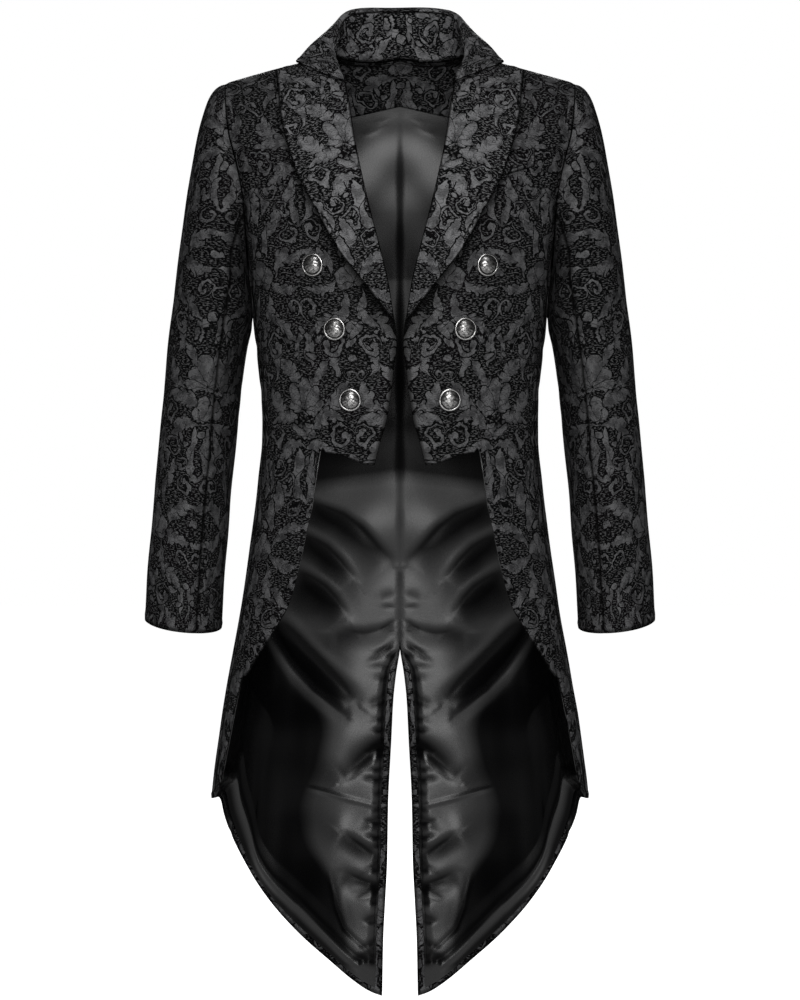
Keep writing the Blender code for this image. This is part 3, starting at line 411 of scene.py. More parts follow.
def on_front(x, z, lift):
    """The point of the forepart at this x and z, moved out by lift, and the direction outwards there."""
    def below(drop):
        ridge = SHOULDER_RISE - SHOULDER_SLOPE * x
        return z - (ridge * (1 - ease(drop / ARMHOLE_DROP)) - drop)

    drop = solve(below, 1e-6, 1.0)
    turn = turn_at_x(x, drop, False)
    normal = body_normal(turn, drop)
    return body(turn, drop) + normal * lift, normal


def between(first, last, share):
    return first + (last - first) * share


def front_seam_top():
    """Drop at which the side-front seam leaves the armhole."""
    return solve(lambda d: armhole_turn(d, False) - math.radians(side_front_turn(d)), 0.20, 0.26)


def front_bottom(turn, drop):
    """How far a place lies below the forepart's hem or cut-away, negative above it."""
    level = [row[1] for row in FRONT_BOTTOM] + [SIDE_SEAM_END]
    turns = [turn_at_x(x, z, False) for x, z in FRONT_BOTTOM]
    turns.append(math.radians(side_front_turn(SIDE_SEAM_END)))
    return drop - float(np.interp(turn, turns, level))


TAIL_TURNS = [math.radians(turn) for turn, _ in TAIL_CUT]
TAIL_TURNS += [turn_at_x(x, level, True) for x, level in TAIL_HEM]
TAIL_LEVELS = [level for _, level in TAIL_CUT] + [level for _, level in TAIL_HEM]
tail_hem_at = curve(list(zip(TAIL_TURNS, TAIL_LEVELS)), ("turn", "level"), "level")


def neckline_drop(x):
    return BACK_NECK_DROP * max(1 - (x / NECK_X) ** 2, 0.0)


# ---- lapels and collar -----------------------------------------------------------------------------
lapel_edge_x = curve(LAPEL_EDGE, LAPEL_EDGE_COLUMNS, "x")
lapel_edge_z = curve(LAPEL_EDGE, LAPEL_EDGE_COLUMNS, "z")
lapel_head_x = curve(LAPEL_HEAD, LAPEL_HEAD_COLUMNS, "x")
lapel_head_z = curve(LAPEL_HEAD, LAPEL_HEAD_COLUMNS, "z")
lapel_spring = curve(LAPEL_SPRING, LAPEL_SPRING_COLUMNS, "rise")


def roll_line(along):
    """x and z of the lapel's roll line, from the gorge down to the break."""
    drop = between(LAPEL_TOP, LAPEL_BREAK, along)
    x = front_edge_x(drop)
    ridge = SHOULDER_RISE - SHOULDER_SLOPE * x
    return x, ridge * (1 - ease(drop / ARMHOLE_DROP)) - drop


def lapel(along, across):
    """A point of the lapel's face, and the direction out of it."""
    roll_x, roll_z = roll_line(along)
    x = between(roll_x, lapel_edge_x(along), across)
    z = between(roll_z, lapel_edge_z(along), across)
    first_x, first_z = roll_line(0.0)
    fade = (1 - along) ** 3
    x += (lapel_head_x(across) - between(first_x, lapel_edge_x(0.0), across)) * fade
    z += (lapel_head_z(across) - between(first_z, lapel_edge_z(0.0), across)) * fade
    lift = LAPEL_SEAT + LAPEL_WALL + lapel_spring(along) * across ** 1.3
    return on_front(x, z, lift)


collar_curves = {name: curve(COLLAR, COLLAR_COLUMNS, name) for name in COLLAR_COLUMNS[1:]}


def neck_seam(round_share):
    """The neckline, from the centre back over the shoulder seam and down the front, and outwards there."""
    if round_share <= SHOULDER_SHARE:
        x = NECK_X * math.sin(math.pi / 2 * round_share / SHOULDER_SHARE)
        drop = neckline_drop(x)
        turn = turn_at_x(x, drop, True)
    else:
        drop = LAPEL_TOP * ((round_share - SHOULDER_SHARE) / (1 - SHOULDER_SHARE)) ** 2
        turn = turn_at_x(front_edge_x(drop), drop, False)
    return body(turn, drop) + body_normal(turn, drop) * COLLAR_SEAT


def on_shoulder(x, y):
    """The point over this x and y on the top of the shoulders, and the direction outwards there."""
    at_back = y > SIDE_Y

    def short(drop):
        half_width, depth = section(drop, at_back)
        reach = depth * (1 - min(x / half_width, 1.0) ** ROUNDNESS) ** (1 / ROUNDNESS)
        return reach - abs(y - SIDE_Y)

    drop = solve(short, 1e-7, 0.13)
    turn = turn_at_x(x, drop, at_back)
    return body(turn, drop), body_normal(turn, drop)


def clear_of_shoulder(point, lift, share):
    """The point moved out, by this share of what it lacks, to be at least lift off the shoulder."""
    base, normal = on_shoulder(point[0], point[1])
    return point + normal * max(lift - float(np.dot(point - base, normal)), 0.0) * share


def through(knots, share):
    """A smooth line through evenly spaced knots."""
    place = min(max(share, 0.0), 1.0) * (len(knots) - 1)
    i = min(int(place), len(knots) - 2)
    t = place - i
    p1, p2 = knots[i], knots[i + 1]
    p0 = knots[i - 1] if i else 2 * p1 - p2
    p3 = knots[i + 2] if i + 2 < len(knots) else 2 * p2 - p1
    return 0.5 * (2 * p1 + (p2 - p0) * t + (2 * p0 - 5 * p1 + 4 * p2 - p3) * t * t
                  + (3 * p1 - p0 - 3 * p2 + p3) * t ** 3)


# ---- sleeves ---------------------------------------------------------------------------------------
sleeve_curves = {name: curve(SLEEVE, SLEEVE_COLUMNS, name) for name in SLEEVE_COLUMNS[1:]}


def sleeve_ring(angle, along):
    outer = np.array([sleeve_curves["outer_x"](along), 0.0, sleeve_curves["outer_z"](along)])
    under = np.array([sleeve_curves["under_x"](along), 0.0, sleeve_curves["under_z"](along)])
    centre = (outer + under) / 2
    point = centre + (outer - under) / 2 * math.cos(angle)
    point[1] = sleeve_curves["centre_y"](along) - sleeve_curves["half_depth"](along) * math.sin(angle)
    point[2] -= sleeve_curves["dip"](along) * math.sin(angle)
    return point


def armhole_point(angle):
    drop = ARMHOLE_DROP / 2 * (1 - math.cos(angle))
    at_back = angle > math.pi
    return body(armhole_turn(drop, at_back), drop)


def sleeve(angle, along):
    """The sleeve's outside: it starts as the armhole seam and becomes an even tube."""
    angle = angle % (2 * math.pi)
    fade = max(1 - along / CROWN_BLEND, 0.0) ** 2
    return sleeve_ring(angle, along) + (armhole_point(angle) - sleeve_ring(angle, 0.0)) * fade


# ---- woven cloth -----------------------------------------------------------------------------------
REPEAT_ACROSS = 14.0      # centimetres from one figure to the next, and half of it the mirror lines
REPEAT_ALONG = 36.0       # the second figure stands half of each further on
FIGURE_SCALE = 1.12       # the figures' own centimetres in one of the cloth's
GROUND = 0.4              # the figure's value where there is only ground
LINE = 0.17               # dark line round each part of a figure
SOFT = 0.05               # how softly satin turns to ground
# leaves of a figure's right half: place, direction, half length, width, bend and how lobed the edge is
LEAF_COLUMNS = ("x", "y", "turn", "length", "width", "bend", "lobes")
CREST_LEAVES = (
    (5.7, -8.0, 66, 2.6, 0.26, 0.50, 0.0),
    (1.2, -7.6, -70, 2.7, 0.24, -0.35, 0.0),
    (3.2, -5.2, -34, 3.0, 0.34, 0.42, 0.40),
    (5.0, 1.2, 52, 2.9, 0.34, -0.45, 0.42),
    (3.1, -0.9, 8, 3.2, 0.32, 0.34, 0.42),
    (4.4, 6.8, 74, 2.7, 0.30, 0.42, 0.40),
    (1.9, 4.8, 58, 2.6, 0.34, 0.25, 0.40),
    (1.0, 8.4, 98, 2.2, 0.26, -0.30, 0.0),
)
CREST_CURLS = ((5.4, -3.4, 1.9, 200), (2.9, 9.9, 1.7, 60), (2.8, -9.9, 1.7, 120), (6.2, 4.4, 1.3, 320))
CREST_FANS = ((0.0, 0.2, 90, 5.0, 9.0), (0.0, -3.6, 90, 2.8, 5.0))
CREST_DROPS = ((0.0, 10.2, 0.55), (0.0, -6.2, 0.50), (1.4, -12.2, 0.36), (6.6, 8.8, 0.42), (5.0, -11.4, 0.45))
SPRAY_LEAVES = (
    (3.8, -6.6, -24, 2.9, 0.34, 0.42, 0.42),
    (1.5, -5.2, -68, 2.7, 0.30, -0.40, 0.40),
    (4.6, 2.2, 26, 2.9, 0.34, 0.45, 0.42),
    (4.1, -2.2, -14, 2.8, 0.30, -0.38, 0.42),
    (2.7, 6.0, 62, 2.9, 0.30, -0.42, 0.40),
    (5.8, 7.6, 100, 2.4, 0.24, 0.50, 0.0),
    (1.2, 4.2, 84, 2.2, 0.28, 0.30, 0.0),
    (0.0, 8.4, 90, 2.4, 0.34, 0.0, 0.40),
)
SPRAY_CURLS = ((5.9, -4.6, 1.5, 60), (5.4, 5.2, 1.6, 230), (2.5, -9.6, 1.9, 160), (2.4, 10.6, 1.5, 330))
SPRAY_FANS = ((0.0, -1.6, 90, 4.0, 7.0), (0.0, -6.8, -90, 2.4, 5.0))
SPRAY_DROPS = ((0.0, 3.0, 0.50), (0.0, -10.8, 0.55), (5.7, -10.6, 0.46), (4.4, 11.2, 0.46), (6.7, 0.0, 0.44))


class Graph:
    """Shader nodes written as calls; a socket or a number goes in, a socket comes out."""

    def __init__(self, tree):
        self.tree = tree

    def put(self, node, values):
        for place, value in values.items():
            if isinstance(value, bpy.types.NodeSocket):
                self.tree.links.new(value, node.inputs[place])
            elif value is not None:
                node.inputs[place].default_value = value

    def math(self, operation, first, second=None, third=None):
        node = self.tree.nodes.new("ShaderNodeMath")
        node.operation = operation
        self.put(node, {0: first, 1: second, 2: third})
        return node.outputs[0]

    def smooth(self, value, low, high):
        node = self.tree.nodes.new("ShaderNodeMapRange")
        node.interpolation_type = "SMOOTHSTEP"
        self.put(node, {"Value": value, "From Min": low, "From Max": high})
        return node.outputs[0]

    def vector(self, operation, first, second=None, output=0, scale=None):
        node = self.tree.nodes.new("ShaderNodeVectorMath")
        node.operation = operation
        self.put(node, {0: first, 1: second, "Scale": scale})
        return node.outputs[output]

    def join(self, x, y):
        node = self.tree.nodes.new("ShaderNodeCombineXYZ")
        self.put(node, {"X": x, "Y": y})
        return node.outputs[0]

    def split(self, vector):
        node = self.tree.nodes.new("ShaderNodeSeparateXYZ")
        self.put(node, {0: vector})
        return node.outputs["X"], node.outputs["Y"]

    def local(self, vector, x, y, turn, size):
        node = self.tree.nodes.new("ShaderNodeMapping")
        node.vector_type = "TEXTURE"
        place = {"Location": (x, y, 0), "Rotation": (0, 0, math.radians(turn)), "Scale": (size, size, 1)}
        self.put(node, {"Vector": vector, **place})
        return node.outputs[0]

    def noise(self, vector, scale, detail=2.0, output="Fac", dimensions="3D"):
        node = self.tree.nodes.new("ShaderNodeTexNoise")
        node.noise_dimensions = dimensions
        self.put(node, {"Vector": vector, "Scale": scale, "Detail": detail})
        return node.outputs[output]

    def mix(self, share, first, second):
        node = self.tree.nodes.new("ShaderNodeMix")
        node.data_type = "RGBA"
        self.put(node, {"Factor": share})
        for name, value in (("A_Color", first), ("B_Color", second)):
            socket = [s for s in node.inputs if s.identifier == name][0]
            if isinstance(value, bpy.types.NodeSocket):
                self.tree.links.new(value, socket)
            else:
                socket.default_value = (*value, 1.0)
        return [s for s in node.outputs if s.identifier == "Result_Color"][0]

    def attribute(self, name):
        node = self.tree.nodes.new("ShaderNodeAttribute")
        node.attribute_name = name
        return node.outputs["Fac"]

    def cloth_place(self):
        """The place on the cloth, in centimetres."""
        node = self.tree.nodes.new("ShaderNodeUVMap")
        node.uv_map = "cloth"
        return self.vector("MULTIPLY", node.outputs[0], (100.0, 100.0, 0.0))

    def paint(self, under, distance, inside=1.0):
        """Lays a shape over what is there: satin inside, a dark line round it."""
        keep = self.smooth(distance, LINE - SOFT, LINE + SOFT)
        fill = self.smooth(distance, SOFT, -SOFT)
        if inside != 1.0:
            fill = self.math("MULTIPLY", fill, inside)
        return self.math("MULTIPLY_ADD", under, keep, fill)

    def leaf(self, under, at, row):
        """A bent leaf, with slanting dark veins and a finger between each two where it is lobed."""
        leaf = dict(zip(LEAF_COLUMNS, row))
        x, y = self.split(self.local(at, leaf["x"], leaf["y"], leaf["turn"], leaf["length"]))
        square = self.math("MULTIPLY", x, x)
        y = self.math("ABSOLUTE", self.math("MULTIPLY_ADD", square, leaf["bend"], y))
        half = self.math("MULTIPLY_ADD", square, -leaf["width"], leaf["width"])
        fill = 1.0
        if leaf["lobes"]:
            slant = self.math("MULTIPLY_ADD", y, -1.3, x)
            wave = self.math("ABSOLUTE", self.math("SINE", self.math("MULTIPLY", slant, 7.0)))
            lobed = self.math("MULTIPLY_ADD", wave, leaf["lobes"], 1.05 - leaf["lobes"])
            half = self.math("MULTIPLY", half, lobed)
            veins = self.math("MULTIPLY_ADD", wave, 0.35, self.math("SUBTRACT", 0.16, y))
            fill = self.smooth(veins, 0.03, 0.09)
        gap = self.math("MULTIPLY", self.math("SUBTRACT", y, half), leaf["length"])
        return self.paint(under, gap, fill)

    def curl(self, under, at, x, y, size, turn):
        """A scroll: a band that thickens as it winds in to a round eye."""
        spot = self.local(at, x, y, turn, size)
        radius = self.vector("LENGTH", spot, output=1)
        around = self.tree.nodes.new("ShaderNodeTexGradient")
        around.gradient_type = "RADIAL"
        self.put(around, {"Vector": spot})
        wound = self.math("MULTIPLY_ADD", around.outputs["Fac"], 0.46, radius)
        wound = self.math("ABSOLUTE", self.math("SUBTRACT", wound, 0.86))
        band = self.math("SUBTRACT", wound, self.math("MULTIPLY_ADD", around.outputs["Fac"], 0.15, 0.02))
        eye = self.vector("LENGTH", self.vector("SUBTRACT", spot, (-0.26, -0.10, 0.0)), output=1)
        gap = self.math("MINIMUM", band, self.math("SUBTRACT", eye, 0.23))
        return self.paint(under, self.math("MULTIPLY", gap, size))

    def fan(self, under, at, x, y, turn, size, fingers):
        """A palmette: rounded fingers spread from its foot."""
        spot = self.local(at, x, y, turn, size)
        radius = self.vector("LENGTH", spot, output=1)
        across, along = self.split(spot)
        angle = self.math("ARCTAN2", along, across)
        wave = self.math("ABSOLUTE", self.math("COSINE", self.math("MULTIPLY", angle, fingers / 2)))
        reach = self.math("MULTIPLY_ADD", wave, 0.16, 0.50)
        spread = self.math("MULTIPLY_ADD", self.math("COSINE", angle), 0.55, 0.75)
        reach = self.math("MULTIPLY", reach, spread)
        gap = self.math("MULTIPLY", self.math("SUBTRACT", radius, reach), size)
        ribs = self.smooth(self.math("MULTIPLY", wave, radius), 0.02, 0.06)
        return self.paint(under, gap, ribs)

    def drop(self, under, at, x, y, size):
        spot = self.vector("SUBTRACT", at, (x, y, 0.0))
        gap = self.math("SUBTRACT", self.vector("LENGTH", spot, output=1), size)
        return self.paint(under, gap)


def figure_group():
    """The woven figure, from a place on the cloth: 0 is a dark line, GROUND the dull ground, 1 the satin."""
    group = bpy.data.node_groups.new("woven_figure", "ShaderNodeTree")
    group.interface.new_socket("Place", in_out="INPUT", socket_type="NodeSocketVector")
    group.interface.new_socket("Figure", in_out="OUTPUT", socket_type="NodeSocketFloat")
    graph = Graph(group)
    start = group.nodes.new("NodeGroupInput").outputs[0]
    start = graph.vector("MULTIPLY", start, (FIGURE_SCALE, FIGURE_SCALE, 0.0))
    sway = graph.noise(start, 0.30, 4.0, "Color", "2D")
    sway = graph.vector("MULTIPLY", graph.vector("SUBTRACT", sway, (0.5, 0.5, 0.0)), (2.8, 2.8, 0.0))
    u, v = graph.split(graph.vector("ADD", start, sway))
    mirror = graph.math("PINGPONG", u, REPEAT_ACROSS / 2)
    crest = graph.join(mirror, graph.math("WRAP", v, REPEAT_ALONG / 2, -REPEAT_ALONG / 2))
    half = graph.math("SUBTRACT", REPEAT_ACROSS / 2, mirror)
    further = graph.math("ADD", v, REPEAT_ALONG / 2)
    spray = graph.join(half, graph.math("WRAP", further, REPEAT_ALONG / 2, -REPEAT_ALONG / 2))
    value = GROUND
    for at, fans, leaves, curls, drops in (
        (crest, CREST_FANS, CREST_LEAVES, CREST_CURLS, CREST_DROPS),
        (spray, SPRAY_FANS, SPRAY_LEAVES, SPRAY_CURLS, SPRAY_DROPS),
    ):
        for row in leaves:
            value = graph.leaf(value, at, row)
        for row in fans:
            value = graph.fan(value, at, *row)
        for row in curls:
            value = graph.curl(value, at, *row)
        for row in drops:
            value = graph.drop(value, at, *row)
    group.links.new(value, group.nodes.new("NodeGroupOutput").inputs[0])
    return group


LINE_COLOUR = (0.0010, 0.0010, 0.0011)
GROUND_COLOURS = ((0.0004, 0.0004, 0.0005), (0.052, 0.052, 0.053))
SATIN_COLOURS = ((0.022, 0.022, 0.023), (0.068, 0.068, 0.070))
LINING_COLOURS = ((0.0008, 0.0008, 0.0009), (0.0032, 0.0032, 0.0034))   # in full shade and in the open
SILVER_COLOURS = ((0.006, 0.006, 0.006), (0.42, 0.415, 0.41))           # in the hollows and where it is worn


def new_material(name):
    """A material, the graph of its nodes and its surface node."""
    material = bpy.data.materials.new(name)
    material.use_nodes = True
    return material, Graph(material.node_tree), material.node_tree.nodes["Principled BSDF"]


def tinted(colours, share):
    return [[part * share for part in colour] for colour in colours]


def figured_cloth(name, figure, shade=1.0):
    """Black jacquard: satin figures on a dull, streaky crepe ground. Its colours are scaled by shade for lit
    and shaded copies of the cloth, which is painted light and shade, and darkened by painted shade along each
    piece's edges (rim attribute) and by the shade attribute.
    """
    material, graph, shader = new_material(name)
    place = graph.cloth_place()
    group = material.node_tree.nodes.new("ShaderNodeGroup")
    group.node_tree = figure
    graph.put(group, {0: place})
    value = group.outputs[0]
    streaks = graph.noise(graph.vector("MULTIPLY", place, (2.6, 7.5, 0.0)), 1.0, 3.0, dimensions="2D")
    ground = graph.mix(graph.smooth(streaks, 0.50, 0.64), *tinted(GROUND_COLOURS, shade))
    soft = graph.noise(place, 0.9, 3.0, dimensions="2D")
    soft = graph.math("MULTIPLY_ADD", streaks, 0.6, graph.math("SUBTRACT", soft, 0.3))
    satin = graph.mix(graph.smooth(soft, 0.3, 0.7), *tinted(SATIN_COLOURS, shade))
    colour = graph.mix(graph.smooth(value, 0.0, GROUND), LINE_COLOUR, ground)
    contour = graph.math("SINE", graph.math("MULTIPLY", graph.noise(place, 0.55, 1.0, dimensions="2D"), 38.0))
    vein = graph.smooth(graph.math("ABSOLUTE", contour), 0.06, 0.34)
    lit = graph.smooth(value, GROUND, 1.0)
    satin = graph.vector("SCALE", satin, scale=graph.math("MULTIPLY_ADD", vein, 0.88, 0.12))
    colour = graph.mix(lit, colour, satin)
    # painted shade: the colour is darkened along every piece's edges (rim attribute) and by the painted shade
    # in the shade attribute
    painted_shade_share = graph.math("MULTIPLY_ADD", graph.smooth(graph.attribute("rim"), 0.0, 0.9), -0.92, 1.0)
    painted_shade_share = graph.math("MULTIPLY", painted_shade_share, graph.attribute("shade"))
    graph.put(shader, {"Base Color": graph.vector("SCALE", colour, scale=painted_shade_share)})
    graph.put(shader, {"Roughness": graph.math("MULTIPLY_ADD", lit, -0.35, 0.85)})
    graph.put(shader, {"Specular IOR Level": graph.math("MULTIPLY_ADD", lit, 0.10, 0.04)})
    bump = material.node_tree.nodes.new("ShaderNodeBump")
    graph.put(bump, {"Height": streaks, "Strength": 0.35, "Distance": 0.0005})
    graph.put(shader, {"Normal": bump.outputs[0]})
    return material


def satin_cloth(name):
    """Black satin; its colour and sheen are darkened by the painted shade held in the shade attribute."""
    material, graph, shader = new_material(name)
    place = graph.cloth_place()
    weave = graph.noise(graph.vector("MULTIPLY", place, (9.0, 2.0, 0.0)), 2.0, 2.0, dimensions="2D")
    shade = graph.attribute("shade")
    # painted shade: base colour and specular level follow the shade attribute
    graph.put(shader, {"Base Color": graph.mix(shade, *LINING_COLOURS)})
    graph.put(shader, {"Roughness": graph.math("MULTIPLY_ADD", weave, 0.06, 0.25)})
    graph.put(shader, {"Specular IOR Level": graph.math("MULTIPLY", shade, 0.48)})
    return material


def silver(name):
    """Antique silver: worn bright where it is raised, dark in its hollows."""
    material, graph, shader = new_material(name)
    raised = graph.attribute("raised")
    where = material.node_tree.nodes.new("ShaderNodeTexCoord").outputs["Object"]
    spots = graph.noise(where, 1300.0, 3.0)
    worn = graph.math("MULTIPLY_ADD", spots, 2.4, graph.math("SUBTRACT", raised, 1.2))
    bright = graph.smooth(worn, 0.05, 0.95)
    graph.put(shader, {"Base Color": graph.mix(bright, *SILVER_COLOURS)})
    graph.put(shader, {"Roughness": graph.math("MULTIPLY_ADD", bright, -0.20, 0.48)})
    shader.inputs["Metallic"].default_value = 1.0
    return material


# ---- finer cloth -----------------------------------------------------------------------------------
CREASE_COLUMNS = ("depth", "width", "gentle", "path")


def spaced(count, low=0.0, high=1.0):
    return [between(low, high, i / count) for i in range(count + 1)]


@functools.lru_cache(maxsize=None)
def collar_knots(place):
    """The collar's section: neck seam, stand, crest and leaf, and how far its fold has died away."""
    seam = neck_seam(place)
    crest = np.array([collar_curves["crest_" + axis](place) for axis in "xyz"])
    leaf, leaf_out = on_shoulder(collar_curves["leaf_x"](place), collar_curves["leaf_y"](place))
    leaf = leaf + leaf_out * collar_curves["leaf_lift"](place)
    out = unit((leaf - seam) * (1.0, 1.0, 0.0))
    up = np.array([0.0, 0.0, 1.0])
    inner = crest - out * COLLAR_FOLD - up * COLLAR_FOLD
    outer = crest + out * COLLAR_FOLD - up * COLLAR_FOLD * 0.6
    bulge = unit(np.cross(np.cross(leaf - crest, up), leaf - crest))
    if bulge[2] < 0:
        bulge = -bulge
    middle = between(outer, leaf, 0.5) + bulge * LEAF_BULGE
    knots = [seam, between(seam, inner, 0.55), inner, crest, outer, middle, leaf]
    flatness = ease((place - FOLD_END[0]) / (FOLD_END[1] - FOLD_END[0]))
    if flatness > 0:
        flat = [between(seam, leaf, share) for share in GORGE_SHARES]
        flat = [clear_of_shoulder(knot, COLLAR_WALL + COLLAR_SEAT, 1.0) for knot in flat]
        flat = [seam, between(seam, flat[0], 0.5)] + flat
        knots = [between(knot, end, flatness) for knot, end in zip(knots, flat)]
    gorge = ease((place - GORGE_START) / (1 - GORGE_START))
    if gorge > 0:
        head = [lapel(0.0, GORGE_END * share)[0] for share in GORGE_SHARES]
        head = [seam, between(seam, head[0], 0.5)] + head
        knots = [between(knot, end, gorge) for knot, end in zip(knots, head)]
    return knots, flatness


def collar(round_share, over):
    side = -1.0 if round_share < 0 else 1.0
    place = min(abs(round_share), 1.0)
    knots, flatness = collar_knots(round(place, 6))
    point = through(knots, over)
    on_leaf = max(flatness, ease((over - CREST_OVER) / 0.15))
    if over > STAND_TOP and place > SHOULDER_SHARE:
        point = clear_of_shoulder(point, COLLAR_WALL + COLLAR_SEAT, on_leaf)
    return point * (side, 1.0, 1.0)


def without_end(grid, axis, first):
    """The grid without its last row or column where first is 0, or without its first where it is 1."""
    return np.take(grid, range(first, grid.shape[axis] - 1 + first), axis=axis)


def refined(points, down, across):
    """A finer grid through the same points, on smooth curves."""
    for axis, times in ((0, down), (1, across)):
        slopes = np.gradient(points, axis=axis)
        start, end = [without_end(points, axis, first) for first in (0, 1)]
        leaving, arriving = [without_end(slopes, axis, first) for first in (0, 1)]
        rows = []
        for i in range(times):
            t = i / times
            rows.append(start * (2 * t ** 3 - 3 * t ** 2 + 1) + leaving * (t ** 3 - 2 * t ** 2 + t)
                        + end * (3 * t ** 2 - 2 * t ** 3) + arriving * (t ** 3 - t ** 2))
        woven = np.stack(rows, axis=axis + 1)
        shape = list(points.shape)
        shape[axis] = (points.shape[axis] - 1) * times
        last = np.take(points, [-1], axis=axis)
        points = np.concatenate([woven.reshape(shape), last], axis=axis)
    return points


def grid_normals(points):
    """Directions square to a grid of points, to the left of its rows seen from outside."""
    along = np.gradient(points, axis=0)
    across = np.gradient(points, axis=1)
    normals = np.cross(along, across)
    length = np.linalg.norm(normals, axis=2, keepdims=True)
    return normals / np.maximum(length, 1e-12)


def path_distance(flat, path):
    """Distance from each place to a line of points, positive on its left, and how far along it that is."""
    path = np.array(path, dtype=float)
    lengths = np.linalg.norm(np.diff(path, axis=0), axis=1)
    best = np.full(flat.shape[:-1], 1e9)
    side = np.ones(flat.shape[:-1])
    along = np.zeros(flat.shape[:-1])
    done = 0.0
    for start, end, length in zip(path, path[1:], lengths):
        run = end - start
        share = np.clip(((flat - start) @ run) / length ** 2, 0.0, 1.0)
        away = flat - (start + share[..., None] * run)
        gap = np.linalg.norm(away, axis=-1)
        nearer = gap < best
        best = np.where(nearer, gap, best)
        side = np.where(nearer, np.sign(run[0] * away[..., 1] - run[1] * away[..., 0]), side)
        along = np.where(nearer, (done + share * length) / lengths.sum(), along)
        done += length
    return best * side, along


def creased(flat, creases):
    """How far each place is pushed out by the creases.

    Gentle is how many times wider a fold is on its soft side: on the left of its path, or on the right
    where it is below 0.
    """
    push = np.zeros(flat.shape[:-1])
    for row in creases:
        crease = dict(zip(CREASE_COLUMNS, row))
        gap, along = path_distance(flat, crease["path"])
        fade = np.sin(np.pi * np.clip(along * 0.92 + 0.04, 0.0, 1.0)) ** 0.7
        on_left = gap > 0 if crease["gentle"] > 0 else gap < 0
        width = crease["width"] * np.where(on_left, abs(crease["gentle"]), 1.0)
        near = np.abs(gap) / width
        push += crease["depth"] * fade * np.exp(-near ** 2)
    return push


def uneven(flat, size, seed):
    """Soft bumps between -1 and 1, from a few waves in chance directions."""
    chance = random.Random(seed)
    total = np.zeros(flat.shape[:-1])
    for _ in range(7):
        turn = chance.uniform(0, math.pi)
        wave = 2 * math.pi / (size * chance.uniform(0.7, 1.6))
        line = flat[..., 0] * math.cos(turn) + flat[..., 1] * math.sin(turn)
        total += np.sin(line * wave + chance.uniform(0, 6.28))
    return total / 4.0


def edge_distance(points):
    """Distance from each place of a grid to its first and last row and column, along the cloth."""
    down = np.linalg.norm(np.diff(points, axis=0), axis=2)
    across = np.linalg.norm(np.diff(points, axis=1), axis=2)
    from_top = np.vstack([np.zeros((1, points.shape[1])), np.cumsum(down, axis=0)])
    from_first = np.hstack([np.zeros((points.shape[0], 1)), np.cumsum(across, axis=1)])
    return {"top": from_top, "bottom": from_top[-1:] - from_top,
            "first": from_first, "last": from_first[:, -1:] - from_first}


def cloth_places(points, level_row, first_u):
    """Where each point lies on the flat cloth: across in metres, and up from the neck."""
    steps = np.diff(points, axis=0)
    down = np.hypot(steps[..., 1], steps[..., 2]) * np.where(steps[..., 2] <= 0, 1, -1)
    v = np.vstack([np.zeros((1, points.shape[1])), -np.cumsum(np.abs(down), axis=0)])
    v = v - v[level_row] + points[level_row, :, 2]
    steps = np.diff(points, axis=1)
    across = np.hypot(steps[..., 0], steps[..., 1])
    u = first_u + np.hstack([np.zeros((points.shape[0], 1)), np.cumsum(across, axis=1)])
    return np.stack([u, v], axis=-1)


def placed(name, data):
    """A new object, put into the scene."""
    thing = bpy.data.objects.new(name, data)
    bpy.context.scene.collection.objects.link(thing)
    return thing


